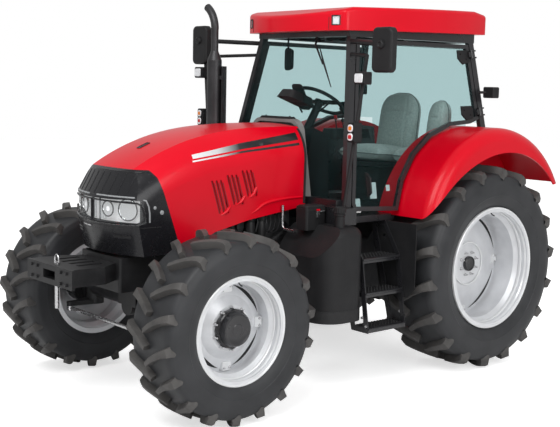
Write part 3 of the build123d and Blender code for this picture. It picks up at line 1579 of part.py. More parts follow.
TOOLBOX_TOP = 1410
TOOLBOX_L = 200
TOOLBOX_W = 130
TOOLBOX_DROP = 40
with BuildPart() as toolbox:
    with Locations((EAR_FRONT_X + 15, TANK_IN_Y + 160, TANK_TOP - TOOLBOX_DROP)):
        Box(
            TOOLBOX_L,
            TOOLBOX_W,
            TOOLBOX_TOP - TANK_TOP + TOOLBOX_DROP,
            align=(Align.MIN, Align.MIN, Align.MIN),
        )
    fillet(toolbox.edges().filter_by(Axis.Z), 20)
    add(fuel_tank.part, mode=Mode.SUBTRACT)
save(toolbox, "toolbox")

# Exhaust stack at the right-hand corner of the cab, with its heat guard
STACK_X = REAR_X + 1575
STACK_Y = -610
MUFFLER_R = 62
MUFFLER_BOTTOM = 1420
MUFFLER_TOP = 2520
FLARE_H = 80
TAILPIPE_R = 31
TAILPIPE_TOP = 2780
TIP_BEND_R = 215
TIP_BEND = 60
TIP_R = TAILPIPE_R + 2
TIP_WALL = 5
TIP_BORE = 25
ELBOW_Z = 1280
GUARD_R = 104
GUARD_T = 4
GUARD_BOTTOM = 1560
GUARD_TOP = 2472
with BuildPart() as exhaust:
    with BuildSketch(side_plane(-ENGINE_HALF)):
        with Locations((STACK_X, ELBOW_Z)):
            Circle(TAILPIPE_R)
    extrude(amount=-STACK_Y - ENGINE_HALF)
    with Locations((STACK_X, STACK_Y, ELBOW_Z)):
        Sphere(TAILPIPE_R)
        Cylinder(
            TAILPIPE_R,
            TAILPIPE_TOP - ELBOW_Z + 10,
            align=(Align.CENTER, Align.CENTER, Align.MIN),
        )
    with Locations((STACK_X, STACK_Y, MUFFLER_BOTTOM)):
        Cylinder(
            MUFFLER_R,
            MUFFLER_TOP - MUFFLER_BOTTOM,
            align=(Align.CENTER, Align.CENTER, Align.MIN),
        )
    with Locations((STACK_X, STACK_Y, MUFFLER_TOP)):
        Cone(MUFFLER_R, TAILPIPE_R, FLARE_H, align=(Align.CENTER, Align.CENTER, Align.MIN))
    with BuildLine(cross_plane(STACK_X)) as tip_path:
        CenterArc((STACK_Y - TIP_BEND_R, TAILPIPE_TOP), TIP_BEND_R, 0, TIP_BEND)
    with BuildSketch(Plane(origin=(STACK_X, STACK_Y, TAILPIPE_TOP))):
        Circle(TIP_R)
    sweep(path=tip_path.line)
    with BuildSketch(Plane(origin=tip_path.line @ 1, z_dir=tip_path.line % 1)):
        Circle(TIP_R - TIP_WALL)
    extrude(amount=-TIP_BORE, mode=Mode.SUBTRACT)
save(exhaust, "exhaust_stack")

with BuildPart() as guard:
    with BuildSketch(Plane.XY.offset(GUARD_BOTTOM)):
        with Locations((STACK_X, STACK_Y)):
            Circle(GUARD_R)
            Circle(GUARD_R - GUARD_T, mode=Mode.SUBTRACT)
            Rectangle(GUARD_R, 2 * GUARD_R, align=(Align.MIN, Align.CENTER), mode=Mode.SUBTRACT)
    extrude(amount=GUARD_TOP - GUARD_BOTTOM)
    for tab_z in (GUARD_BOTTOM + 80, GUARD_TOP - 110):
        with BuildSketch(Plane.XY.offset(tab_z)):
            with Locations((STACK_X, STACK_Y)):
                Circle(GUARD_R - GUARD_T / 2)
                Circle(MUFFLER_R + RUN_GAP, mode=Mode.SUBTRACT)
                Rectangle(GUARD_R, 2 * GUARD_R, align=(Align.MIN, Align.CENTER), mode=Mode.SUBTRACT)
        extrude(amount=30)
save(guard, "exhaust_guard")

# Grab rails with mirrors and lamps, on the cab's front corners
RAIL_R = 14
RAIL_FOOT_R = 26
MIRROR_W = 205
MIRROR_H = 335
MIRROR_T = 60
MIRROR_CORNER_R = 45
MIRROR_BACK_R = 20
MIRROR_ARM_R = 19
MIRROR_ARM_Z = 2680
RAIL_X = EAR_FRONT_X - 40
RAIL_Y = EAR_HALF - 30
LAMP_DEPTH = 80
LAMP_W = 112
LAMP_H = 96
MARKER_W = 76
MARKER_H = 150
LAMP_EDGE_R = 14


def rod(start, end, radius):
    """Round bar between two points."""
    along = Vector(*end) - Vector(*start)
    with BuildPart() as bar:
        with BuildSketch(Plane(origin=start, z_dir=along)):
            Circle(radius)
        extrude(amount=along.length)
    return bar.part


def rounded_box(at, depth, wide, high, corner_r, edge_r):
    """Box with rounded corners seen along X, and rounded edges on its front."""
    with BuildPart() as box:
        with BuildSketch(cross_plane(at[0] - depth / 2)):
            with Locations((at[1], at[2])):
                RectangleRounded(wide, high, corner_r)
        extrude(amount=depth)
        fillet(box.faces().sort_by(Axis.X)[-1].edges(), edge_r)
    return box.part


def rail_solid(foot, top, mirror_at, lamp_z, marker_z):
    """Rail on the left-hand corner: upright, stay to the A-post, mirror arm, lamp and marker."""
    stay_x, stay_y = a_post(top[2] + 20)
    arm_x, arm_y = a_post(MIRROR_ARM_Z)
    head = (mirror_at[0], mirror_at[1], mirror_at[2] - 0.12 * MIRROR_H)
    with BuildPart() as rail:
        with Locations(foot):
            Cylinder(RAIL_FOOT_R, 14, align=(Align.CENTER, Align.CENTER, Align.MIN))
        add(rod((foot[0], foot[1], foot[2] + 8), top, RAIL_R))
        add(rod(top, (stay_x - POST_DEPTH / 3, stay_y - 8, top[2] + 20), RAIL_R))
        add(rod((arm_x - POST_DEPTH / 3, arm_y - 8, MIRROR_ARM_Z), mirror_at, MIRROR_ARM_R))
        with Locations(top):
            Sphere(RAIL_R)
        add(rounded_box(head, MIRROR_T, MIRROR_W, MIRROR_H, MIRROR_CORNER_R, MIRROR_BACK_R))
        for z, wide, high in ((lamp_z, LAMP_W, LAMP_H), (marker_z, MARKER_W, MARKER_H)):
            t = (z - foot[2]) / (top[2] - foot[2])
            at = (foot[0] + t * (top[0] - foot[0]) + 30, foot[1] + t * (top[1] - foot[1]) + 20, z)
            add(rounded_box(at, LAMP_DEPTH, wide, high, LAMP_EDGE_R, LAMP_EDGE_R / 2))
        add(cab_frame.part, mode=Mode.SUBTRACT)
    return rail


rail_left = rail_solid(
    (RAIL_X, RAIL_Y, EAR_TOP),
    (RAIL_X - 170, RAIL_Y + 30, 2560),
    (RAIL_X - 130, RAIL_Y + 240, 2640),
    2390,
    1980,
)
save(rail_left, "mirror_rail_left")
rail_right = rail_solid(
    (RAIL_X, RAIL_Y, EAR_TOP),
    (RAIL_X - 20, RAIL_Y + 130, 2560),
    (RAIL_X, RAIL_Y + 160, 2700),
    2420,
    2030,
)
save(on_right(rail_right.part), "mirror_rail_right")

# Rear lamps: work lamps on stalks behind the C-posts, and tail lamps on the fenders
WORK_LAMP_Z = 2300
WORK_LAMP_BACK = 62
WORK_LAMP_OUT = 66
STALK_R = 12
TAIL_ANGLE = 136
TAIL_Y = 1010
TAIL_R = 52
TAIL_H = 34
with BuildPart() as rear_lamp_left:
    work_x, work_y = c_post(WORK_LAMP_Z)
    work_at = (work_x - WORK_LAMP_BACK, work_y + WORK_LAMP_OUT, WORK_LAMP_Z)
    add(rod((work_x + POST_DEPTH / 2, work_y - POST_WIDTH / 2, WORK_LAMP_Z), work_at, STALK_R))
    add(rounded_box(work_at, LAMP_DEPTH, LAMP_W, LAMP_H, LAMP_EDGE_R, LAMP_EDGE_R / 2))
    add(cab_frame.part, mode=Mode.SUBTRACT)
    tail_x, tail_z = crown_point(TAIL_ANGLE, -FENDER_WALL / 2)
    tail_out = (cos(radians(TAIL_ANGLE)), 0, sin(radians(TAIL_ANGLE)))
    with BuildSketch(Plane(origin=(tail_x, TAIL_Y, tail_z), z_dir=tail_out)):
        Circle(TAIL_R)
    extrude(amount=TAIL_H)
    add(fender_block(0, FENDER_INNER_Y, FENDER_OUTER_Y, 0), mode=Mode.SUBTRACT)
rear_lamps = both_sides(rear_lamp_left.part)
save(rear_lamps, "rear_lamps")

# Rear linkage: rocker shaft with lift arms, lift rods, lower links and drawbar

def along(start, length, slope):
    """Point at a length behind start, falling by slope degrees."""
    return (start[0] - length * cos(radians(slope)), start[1] - length * sin(radians(slope)))


LINK_PIVOT = (LINK_PIVOT_X, LINK_PIVOT_Z)
ROCKER = (ROCKER_X, ROCKER_Z)
LINK_END = along(LINK_PIVOT, LINK_LENGTH, LINK_SLOPE)
LINK_MID = along(LINK_PIVOT, ARM_LENGTH, LINK_SLOPE)
ARM_END = along(ROCKER, ARM_LENGTH, LINK_SLOPE)


def flat_bar(start, end, height, y, thick):
    """Flat bar of a given height from start to end in the side view, centred on y."""
    middle = ((start[0] + end[0]) / 2, (start[1] + end[1]) / 2)
    run = Vector(end[0] - start[0], 0, end[1] - start[1])
    with BuildPart() as bar:
        with BuildSketch(Plane((middle[0], y, middle[1]), x_dir=run, z_dir=(0, -1, 0))):
            Rectangle(run.length, height)
        extrude(amount=thick / 2, both=True)
    return bar.part


def disc(at, radius, y, thick):
    """Disc across the machine, centred on y."""
    with BuildPart() as plate:
        with BuildSketch(side_plane(y)):
            with Locations(at):
                Circle(radius)
        extrude(amount=thick / 2, both=True)
    return plate.part


with BuildPart() as link_left:
    add(flat_bar(LINK_PIVOT, LINK_END, LINK_H, LINK_Y, LINK_T))
    add(disc(LINK_PIVOT, LINK_EYE_R, LINK_Y, LINK_T))
    add(disc(LINK_END, LINK_EYE_R, LINK_Y, LINK_EYE_W))
    pin_y = ROD_Y - ROD_T / 2 - 6
    add(disc(LINK_MID, ARM_PIN_R, (pin_y + LINK_Y) / 2, LINK_Y - pin_y))
    add(disc(LINK_PIVOT, LINK_PIN_R + RUN_GAP, LINK_Y, 2 * LINK_T), mode=Mode.SUBTRACT)
    add(disc(LINK_END, LINK_BORE_R, LINK_Y, 2 * LINK_T), mode=Mode.SUBTRACT)
lower_links = both_sides(link_left.part)
save(lower_links, "lower_links")

with BuildPart() as arm_left:
    add(disc(ROCKER, ROCKER_R, (ARM_Y + ARM_T / 2) / 2, ARM_Y + ARM_T / 2))
    add(disc(ROCKER, ROCKER_R + 22, ARM_Y, ARM_T))
    add(flat_bar(ROCKER, ARM_END, 70, ARM_Y, ARM_T))
    add(disc(ARM_END, ROD_EYE_R + 3, ARM_Y, ARM_T))
    arm_pin_out = ROD_Y + ROD_T / 2 + 6
    add(disc(ARM_END, ARM_PIN_R, (ARM_Y + arm_pin_out) / 2, arm_pin_out - ARM_Y))
lift_arms = both_sides(arm_left.part)
save(lift_arms, "lift_arms")

with BuildPart() as rod_left:
    add(rod((ARM_END[0], ROD_Y, ARM_END[1]), (LINK_MID[0], ROD_Y, LINK_MID[1]), ROD_R))
    for at in (ARM_END, LINK_MID):
        add(disc(at, ROD_EYE_R, ROD_Y, ROD_T))
        add(disc(at, ARM_PIN_R + RUN_GAP, ROD_Y, 2 * ROD_T), mode=Mode.SUBTRACT)
lift_rods = both_sides(rod_left.part)
save(lift_rods, "lift_rods")

DRAWBAR_Z = 400
DRAWBAR_T = 35
DRAWBAR_HALF = 42
DRAWBAR_FRONT_X = REAR_X + 150
DRAWBAR_END_X = REAR_X - 760
DRAWBAR_HOLE_R = 15.5
with BuildPart() as drawbar:
    with Locations((DRAWBAR_END_X, 0, DRAWBAR_Z)):
        Box(
            DRAWBAR_FRONT_X - DRAWBAR_END_X,
            2 * DRAWBAR_HALF,
            DRAWBAR_T,
            align=(Align.MIN, Align.CENTER, Align.MIN),
        )
    for hanger_x in (DRAWBAR_FRONT_X - 60, REAR_X - REAR_CASE_BACK + 20):
        with Locations((hanger_x, 0, DRAWBAR_Z + DRAWBAR_T)):
            Box(
                60,
                2 * DRAWBAR_HALF + 80,
                BACKBONE_BOTTOM - DRAWBAR_Z - DRAWBAR_T,
                align=(Align.MIN, Align.CENTER, Align.MIN),
            )
    with Locations((DRAWBAR_END_X + 45, 0, DRAWBAR_Z)):
        Cylinder(DRAWBAR_HOLE_R, 4 * DRAWBAR_T, mode=Mode.SUBTRACT)
save(drawbar, "drawbar")
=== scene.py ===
"""Looks for the four-wheel-drive farm tractor: materials, tyres, lamps, trim, seats and the studio."""
import json
from math import cos, pi, radians, sin, sqrt

import bmesh
import bpy
from mathutils import Matrix, Vector
from mathutils.bvhtree import BVHTree


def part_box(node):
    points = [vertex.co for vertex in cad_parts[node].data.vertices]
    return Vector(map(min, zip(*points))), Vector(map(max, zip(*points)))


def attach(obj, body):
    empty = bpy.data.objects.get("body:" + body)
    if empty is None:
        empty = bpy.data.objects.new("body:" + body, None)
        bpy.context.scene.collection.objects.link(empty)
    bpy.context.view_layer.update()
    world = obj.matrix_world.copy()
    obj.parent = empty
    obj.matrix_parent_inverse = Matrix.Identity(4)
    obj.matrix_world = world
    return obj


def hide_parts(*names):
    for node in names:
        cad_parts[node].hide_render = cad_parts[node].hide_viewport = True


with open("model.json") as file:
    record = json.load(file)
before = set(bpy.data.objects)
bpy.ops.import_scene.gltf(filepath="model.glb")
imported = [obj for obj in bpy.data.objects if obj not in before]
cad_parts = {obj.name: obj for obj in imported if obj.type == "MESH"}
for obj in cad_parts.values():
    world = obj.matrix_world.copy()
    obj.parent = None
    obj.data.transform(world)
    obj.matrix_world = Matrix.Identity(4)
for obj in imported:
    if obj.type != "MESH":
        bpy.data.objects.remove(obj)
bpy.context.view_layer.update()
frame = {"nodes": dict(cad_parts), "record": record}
NODES = frame["nodes"]


# Places read from the frame

def centre(node):
    """Middle of a CAD node's box."""
    low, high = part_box(node)
    return (low + high) / 2


REAR_X = centre("rear_tyre_left").x
FRONT_X = centre("front_tyre_left").x


# Materials

def settle(node, **values):
    """Sets a node's inputs, named here in lower case with underscores."""
    for socket, value in values.items():
        node.inputs[socket.replace("_", " ").title()].default_value = value


def link(tree, source, output, target, socket):
    """Joins one node's output to another's input."""
    tree.links.new(source.outputs[output], target.inputs[socket])


def material(name, colour, roughness=0.5, metallic=0.0, shine=0.5, **sockets):
    """Principled material with its constant values set on the shader's own sockets."""
    mat = bpy.data.materials.new(name)
    mat.use_nodes = True
    shader = mat.node_tree.nodes["Principled BSDF"]
    settle(shader, base_color=(*colour, 1), roughness=roughness, metallic=metallic, **sockets)
    shader.inputs["Specular IOR Level"].default_value = shine
    return mat


def noise(tree, scale, detail):
    """Noise texture in the object's own coordinates."""
    coord = tree.nodes.new("ShaderNodeTexCoord")
    texture = tree.nodes.new("ShaderNodeTexNoise")
    settle(texture, scale=scale, detail=detail)
    link(tree, coord, "Object", texture, "Vector")
    return texture


def colour_ramp(tree, stops):
    """Colour ramp through (position, colour) stops."""
    node = tree.nodes.new("ShaderNodeValToRGB")
    elements = node.color_ramp.elements
    while len(elements) < len(stops):
        elements.new(0.5)
    for element, (position, colour) in zip(elements, stops):
        element.position = position
        element.color = (*colour, 1)
    return node


def vary(mat, socket, scale, low, high, detail):
    """Patches between two colours on one of the shader's inputs."""
    tree = mat.node_tree
    patches = colour_ramp(tree, ((0.3, low), (0.7, high)))
    link(tree, noise(tree, scale, detail), "Fac", patches, "Fac")
    link(tree, patches, "Color", tree.nodes["Principled BSDF"], socket)


def blotch(mat, scale, low, high):
    """Blotchy colour between low and high."""
    vary(mat, "Base Color", scale, low, high, 4.0)


def uneven(mat, scale, low, high):
    """Uneven gloss between two roughness values."""
    vary(mat, "Roughness", scale, (low,) * 3, (high,) * 3, 3.0)


def grain(mat, scale, strength):
    """Fine surface grain."""
    tree = mat.node_tree
    bump = tree.nodes.new("ShaderNodeBump")
    settle(bump, strength=strength, distance=0.001)
    link(tree, noise(tree, scale, 2.0), "Fac", bump, "Height")
    link(tree, bump, "Normal", tree.nodes["Principled BSDF"], "Normal")


def see_through(mat, tint, share):
    """Tints what lies behind, and keeps a share of the material's own gloss."""
    tree = mat.node_tree
    behind = tree.nodes.new("ShaderNodeBsdfTransparent")
    settle(behind, color=(*tint, 1))
    blend = tree.nodes.new("ShaderNodeMixShader")
    settle(blend, fac=share)
    link(tree, behind, "BSDF", blend, 1)
    link(tree, tree.nodes["Principled BSDF"], "BSDF", blend, 2)
    link(tree, blend, "Shader", tree.nodes["Material Output"], "Surface")


def fade_along_x(mat, start, end, stops):
    """Colour stops laid along X, from start to end metres."""
    tree = mat.node_tree
    coord = tree.nodes.new("ShaderNodeTexCoord")
    split = tree.nodes.new("ShaderNodeSeparateXYZ")
    span = tree.nodes.new("ShaderNodeMapRange")
    settle(span, from_min=start, from_max=end)
    blend = colour_ramp(tree, stops)
    link(tree, coord, "Object", split, "Vector")
    link(tree, split, "X", span, "Value")
    link(tree, span, "Result", blend, "Fac")
    link(tree, blend, "Color", tree.nodes["Principled BSDF"], "Base Color")


RED = material("red_paint", (0.62, 0.0, 0.01), 0.3, shine=0.2, coat_weight=0.12, coat_roughness=0.1)
blotch(RED, 2.0, (0.6, 0.0, 0.01), (0.66, 0.0, 0.013))
grain(RED, 260, 0.015)
GLOSS = material(
    "black_gloss", (0.01, 0.01, 0.012), 0.26, shine=0.3, coat_weight=0.1, coat_roughness=0.12,
)
uneven(GLOSS, 30, 0.2, 0.3)
PLASTIC = material("black_plastic", (0.012, 0.012, 0.013), 0.5, shine=0.25)
blotch(PLASTIC, 6, (0.01, 0.01, 0.011), (0.016, 0.016, 0.017))
grain(PLASTIC, 700, 0.25)
SILVER = material("silver_paint", (0.66, 0.67, 0.69), 0.34, 0.25, coat_weight=0.2)
blotch(SILVER, 9, (0.62, 0.63, 0.65), (0.7, 0.71, 0.73))
grain(SILVER, 420, 0.03)
RUBBER = material("tyre_rubber", (0.024, 0.025, 0.027), 0.5, shine=0.4)
blotch(RUBBER, 5, (0.018, 0.019, 0.021), (0.03, 0.031, 0.034))
grain(RUBBER, 320, 0.18)
TREAD = material("tyre_tread", (0.06, 0.057, 0.055), 0.55, shine=0.4)
blotch(TREAD, 9, (0.046, 0.044, 0.043), (0.078, 0.074, 0.071))
grain(TREAD, 320, 0.25)
CASTING = material("black_casting", (0.014, 0.014, 0.015), 0.42, shine=0.3)
blotch(CASTING, 11, (0.011, 0.011, 0.012), (0.02, 0.02, 0.021))
grain(CASTING, 180, 0.22)
GREY_CASTING = material("grey_casting", (0.06, 0.06, 0.064), 0.48, 0.1)
blotch(GREY_CASTING, 9, (0.04, 0.04, 0.043), (0.08, 0.08, 0.084))
grain(GREY_CASTING, 160, 0.25)
BLACK = material("black_paint", (0.014, 0.014, 0.016), 0.3, coat_weight=0.3, coat_roughness=0.1)
uneven(BLACK, 18, 0.26, 0.36)
STEEL = material("bright_steel", (0.62, 0.62, 0.63), 0.26, 1.0)
uneven(STEEL, 60, 0.2, 0.34)
STACK = material("stack_metal", (0.035, 0.035, 0.038), 0.4, 0.5)
blotch(STACK, 7, (0.028, 0.028, 0.03), (0.05, 0.05, 0.053))
GREY_PAINT = material("grey_paint", (0.2, 0.195, 0.19), 0.42)
blotch(GREY_PAINT, 8, (0.17, 0.166, 0.162), (0.23, 0.224, 0.22))
grain(GREY_PAINT, 300, 0.08)
CAB_GLASS = material("cab_glass", (0.05, 0.1, 0.1), 0.03)
uneven(CAB_GLASS, 3, 0.02, 0.05)
see_through(CAB_GLASS, (0.83, 0.905, 0.908), 0.05)
LENS = material("lamp_glass", (0.9, 0.93, 0.95), 0.04, alpha=0.05)
uneven(LENS, 40, 0.02, 0.08)
CLOTH = material("seat_cloth", (0.56, 0.57, 0.54), 0.85, sheen_weight=0.3)
blotch(CLOTH, 60, (0.48, 0.49, 0.46), (0.64, 0.65, 0.62))
grain(CLOTH, 900, 0.4)
PIPING = material("seat_piping", (0.16, 0.17, 0.17), 0.7)
blotch(PIPING, 200, (0.13, 0.14, 0.14), (0.2, 0.21, 0.21))
WHEEL_SILVER = material("wheel_silver", (0.74, 0.75, 0.76), 0.3, 0.2, coat_weight=0.3)
blotch(WHEEL_SILVER, 12, (0.7, 0.71, 0.72), (0.78, 0.79, 0.8))
grain(WHEEL_SILVER, 500, 0.02)
# Matt black for black parts; also laid as painted shade in the wheels' gaps and the bumper slots
MATT_BLACK = material("matt_black", (0.008, 0.008, 0.009), 0.7)
blotch(MATT_BLACK, 30, (0.006, 0.006, 0.007), (0.012, 0.012, 0.013))
grain(MATT_BLACK, 400, 0.1)
# Light grey, for the nose buttons, and as a painted highlight on the lamp brows
GREY_PLASTIC_AND_PAINTED_HIGHLIGHT = material("grey_plastic_and_painted_highlight", (0.3, 0.31, 0.32), 0.4)
blotch(GREY_PLASTIC_AND_PAINTED_HIGHLIGHT, 40, (0.26, 0.27, 0.28), (0.34, 0.35, 0.36))
TRIM_GREY = material("trim_grey", (0.1, 0.105, 0.105), 0.8)
blotch(TRIM_GREY, 50, (0.085, 0.09, 0.09), (0.12, 0.125, 0.125))
grain(TRIM_GREY, 500, 0.3)
MIRROR = material("mirror_glass", (0.85, 0.87, 0.88), 0.05, 1.0)
uneven(MIRROR, 20, 0.03, 0.09)
# The housing's emission is painted light: a faint glow that lifts the shade inside the lamps
HOUSING_WITH_PAINTED_GLOW = material("lamp_housing_painted_glow", (0.9, 0.91, 0.92), 0.3, 0.2, emission_strength=0.22)
blotch(HOUSING_WITH_PAINTED_GLOW, 25, (0.8, 0.81, 0.82), (0.92, 0.93, 0.94))
BULB = material("bulb_glass", (0.9, 0.93, 0.96), 0.08, 0.3, coat_weight=0.6, emission_strength=0.25)
uneven(BULB, 30, 0.05, 0.12)
LABEL = material("blank_label", (0.8, 0.8, 0.79), 0.5)
blotch(LABEL, 25, (0.76, 0.76, 0.75), (0.84, 0.84, 0.83))
LAMP_WHITE = material("lens_white", (0.82, 0.84, 0.86), 0.18, 0.2, coat_weight=0.6)
blotch(LAMP_WHITE, 60, (0.72, 0.74, 0.76), (0.9, 0.92, 0.94))
grain(LAMP_WHITE, 250, 0.3)
LAMP_RED = material("lens_red", (0.5, 0.01, 0.012), 0.15, coat_weight=0.6)
blotch(LAMP_RED, 60, (0.4, 0.008, 0.01), (0.58, 0.014, 0.016))
grain(LAMP_RED, 250, 0.3)
LAMP_AMBER = material("lens_amber", (0.75, 0.22, 0.02), 0.15, coat_weight=0.6)
blotch(LAMP_AMBER, 60, (0.68, 0.18, 0.015), (0.8, 0.26, 0.03))
grain(LAMP_AMBER, 250, 0.3)
# Painted shade: dark red for the shaded insides of the louvre slots and the shaded bands beside them
PAINTED_SHADE_RED = material("shaded_red", (0.2, 0.0, 0.004), 0.5)
blotch(PAINTED_SHADE_RED, 15, (0.17, 0.0, 0.003), (0.23, 0.0, 0.005))
STRIPE = material("hood_stripe", (0.7, 0.71, 0.72), 0.3, 0.2, coat_weight=0.5)
STRIPE_STOPS = (
    (0.0, (0.8, 0.8, 0.81)), (0.22, (0.62, 0.62, 0.63)),
    (0.42, (0.02, 0.02, 0.022)), (1.0, (0.012, 0.012, 0.013)),
)
fade_along_x(STRIPE, REAR_X + 2.52, REAR_X + 1.5, STRIPE_STOPS)

SLOT_MATERIALS = {
    "red_paint": RED, "black_gloss": GLOSS, "black_plastic": PLASTIC, "silver_paint": SILVER,
    "tyre_rubber": RUBBER, "black_casting": CASTING, "grey_casting": GREY_CASTING, "black_paint": BLACK,
    "steel": STEEL, "stack_metal": STACK, "grey_paint": GREY_PAINT, "cab_glass": CAB_GLASS,
    "lamp_glass": LENS, "seat_cloth": CLOTH,
}
for sub in frame["record"]["subparts"]:
    painted = NODES[sub["node"]]
    painted.data.materials.clear()
    painted.data.materials.append(SLOT_MATERIALS[sub["material_slot"]])


# Mesh tools

def P(x, y, z):
    """Point with x measured forward from the rear axle."""
    return Vector((REAR_X + x, y, z))


def at(point, along=(0, 0, 1), up=(0, 0, 1)):
    """Place whose Z axis runs along the given direction, with Y as near up as it can be."""
    z = Vector(along).normalized()
    x = Vector(up).cross(z)
    if x.length < 1e-4:
        x = Vector((0, 1, 0)).cross(z)
    x.normalize()
    y = z.cross(x)
    return Matrix.Translation(point) @ Matrix((x, y, z)).transposed().to_4x4()


class Form:
    """Several solids gathered into one mesh, each with its own material index."""

    def __init__(self):
        self.verts, self.faces, self.paint = [], [], []

    def add(self, verts, faces, paint=0):
        base = len(self.verts)
        self.verts += [tuple(v) for v in verts]
        self.faces += [tuple(base + i for i in face) for face in faces]
        self.paint += [paint] * len(faces)

    def skin(self, verts, steps, paint, closed=False):
        """Faces over rings of points, with a cap on each end or joined into a closed ring."""
        rows = len(verts) // steps
        faces = []
        for j in range(rows if closed else rows - 1):
            k = (j + 1) % rows
            for i in range(steps):
                n = (i + 1) % steps
                faces.append((j * steps + i, j * steps + n, k * steps + n, k * steps + i))
        if not closed:
            faces.append(tuple(range(steps))[::-1])
            faces.append(tuple((rows - 1) * steps + i for i in range(steps)))
        self.add(verts, faces, paint)

    def lathe(self, profile, place, steps=32, paint=0, closed=False, lobes=0, lobe=0.0):
        """Turns (along, radius) points about the place's Z axis; a closed profile makes a ring."""
        verts = []
        for along, radius in profile:
            for i in range(steps):
                a = 2 * pi * i / steps
                r = radius * (1 + lobe * cos(lobes * a)) if lobes else radius
                verts.append(place @ Vector((r * cos(a), r * sin(a), along)))
        self.skin(verts, steps, paint, closed)

    def prism(self, outline, low, high, place, paint=0, top=1.0):
        """Closed outline in the place's XY, carried from low to high and drawn in to top of its size."""
        n = len(outline)
        cx = sum(p[0] for p in outline) / n
        cy = sum(p[1] for p in outline) / n
        verts = [place @ Vector((x, y, low)) for x, y in outline]
        verts += [place @ Vector((cx + top * (x - cx), cy + top * (y - cy), high)) for x, y in outline]
        self.skin(verts, n, paint)

    def block(self, size, place, paint=0, corner=0.004, top=1.0):
        """Box with rounded upright corners, centred on the place."""
        self.prism(rounded(size[0], size[1], corner), -size[2] / 2, size[2] / 2, place, paint, top)

    def tube(self, path, radius, steps=10, paint=0):
        """Round bar through the points; radius is one value or one for each point."""
        path = [Vector(p) for p in path if p is not None]
        radii = radius if isinstance(radius, (list, tuple)) else [radius] * len(path)
        side = None
        verts = []
        for i, p in enumerate(path):
            ahead = (path[min(i + 1, len(path) - 1)] - path[max(i - 1, 0)]).normalized()
            if side is None:
                side = ahead.orthogonal().normalized()
            side = (side - ahead * side.dot(ahead)).normalized()
            up = ahead.cross(side)
            for k in range(steps):
                a = 2 * pi * k / steps
                verts.append(p + radii[i] * (cos(a) * side + sin(a) * up))
        self.skin(verts, steps, paint)

    def hex_bolt(self, place, size=0.012, paint=0):
        """Washer and hexagon head standing on the place."""
        head = ((0.2 * size, 0.8 * size), (0.9 * size, 0.8 * size), (1.05 * size, 0.66 * size))
        self.lathe(((0, 1.05 * size), (0.2 * size, 1.05 * size)), place, 14, paint)
        self.lathe(head, place, 6, paint)

    def grid(self, rows, paint=0):
        """Sheet through rows of points, open where a point is missing."""
        n = len(rows[0])
        cells = [p for row in rows for p in row]
        number = {k: i for i, k in enumerate(k for k, p in enumerate(cells) if p is not None)}
        faces = []
        for j in range(len(rows) - 1):
            for i in range(n - 1):
                corners = (j * n + i, j * n + i + 1, (j + 1) * n + i + 1, (j + 1) * n + i)
                if all(k in number for k in corners):
                    faces.append(tuple(number[k] for k in corners))
        self.add([cells[k] for k in number], faces, paint)

    def make(self, name, materials, body, bevel=0.0, angle=32, slot=None):
        """The finished piece, riding on a body."""
        mesh = bpy.data.meshes.new(name)
        mesh.from_pydata(self.verts, [], self.faces)
        for mat in materials:
            mesh.materials.append(mat)
        mesh.polygons.foreach_set("material_index", self.paint)
        work = bmesh.new()
        work.from_mesh(mesh)
        bmesh.ops.recalc_face_normals(work, faces=work.faces)
        work.to_mesh(mesh)
        work.free()
        mesh.shade_smooth()
        mesh.set_sharp_from_angle(angle=radians(angle))
        piece = bpy.data.objects.new(name, mesh)
        bpy.context.scene.collection.objects.link(piece)
        if bevel:
            soften = piece.modifiers.new("soften", "BEVEL")
            soften.width = bevel
            soften.segments = 2
            soften.limit_method = "ANGLE"
            soften.angle_limit = radians(35)
        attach(piece, body)
        return piece


def rounded(wide, high, corner, steps=4):
    """Rounded rectangle outline about the origin."""
    corner = min(corner, wide / 2 - 1e-5, high / 2 - 1e-5)
    points = []
    for cx, cy, start in ((1, 1, 0), (-1, 1, 90), (-1, -1, 180), (1, -1, 270)):
        for i in range(steps + 1):
            a = radians(start + 90 * i / steps)
            x = cx * (wide / 2 - corner) + corner * cos(a)
            y = cy * (high / 2 - corner) + corner * sin(a)
            points.append((x, y))
    return points


TREES = {}


def meet(node, start, direction):
    """Point and outward normal where a ray meets a CAD node's skin, or None."""
    if node not in TREES:
        mesh = NODES[node].data
        turn = NODES[node].matrix_world
        TREES[node] = BVHTree.FromPolygons(
            [turn @ v.co for v in mesh.vertices], [tuple(p.vertices) for p in mesh.polygons]
        )
    point, normal, _, _ = TREES[node].ray_cast(Vector(start), Vector(direction).normalized())
    if point is None:
        return None
    if normal.dot(Vector(direction)) > 0:
        normal = -normal
    return point, normal


def from_front(node, y, z, lift):
    """Point on a node's front, seen along X, lifted off its skin, or None."""
    hit = meet(node, (4, y, z), (-1, 0, 0))
    return hit and hit[0] + lift * hit[1]


def from_side(node, x, z, sign, lift):
    """Point on a node's left or right side, seen along Y, lifted off its skin, or None."""
    hit = meet(node, P(x, 2 * sign, z), (0, -sign, 0))
    return hit and hit[0] + lift * hit[1]


def from_top(node, x, y, lift):
    """Point on a node's upper side, seen from above, lifted off its skin, or None."""
    hit = meet(node, P(x, y, 4), (0, 0, -1))
    return hit and hit[0] + lift * hit[1]


def between(points, x):
    """Value of a broken line at x."""
    for (x0, v0), (x1, v1) in zip(points, points[1:]):
        if min(x0, x1) <= x <= max(x0, x1):
            return v0 + (v1 - v0) * (x - x0) / (x1 - x0)
    return points[0][1] if abs(x - points[0][0]) < abs(x - points[-1][0]) else points[-1][1]


def spread(start, end, count):
    """Evenly spaced values from start to end."""
    return [start + (end - start) * i / (count - 1) for i in range(count)]


def circle(radius, count, start=0.0):
    """Points evenly round a circle, the first turned by a share of a step."""
    turns = [2 * pi * (i + start) / count for i in range(count)]
    return [(radius * cos(a), radius * sin(a)) for a in turns]


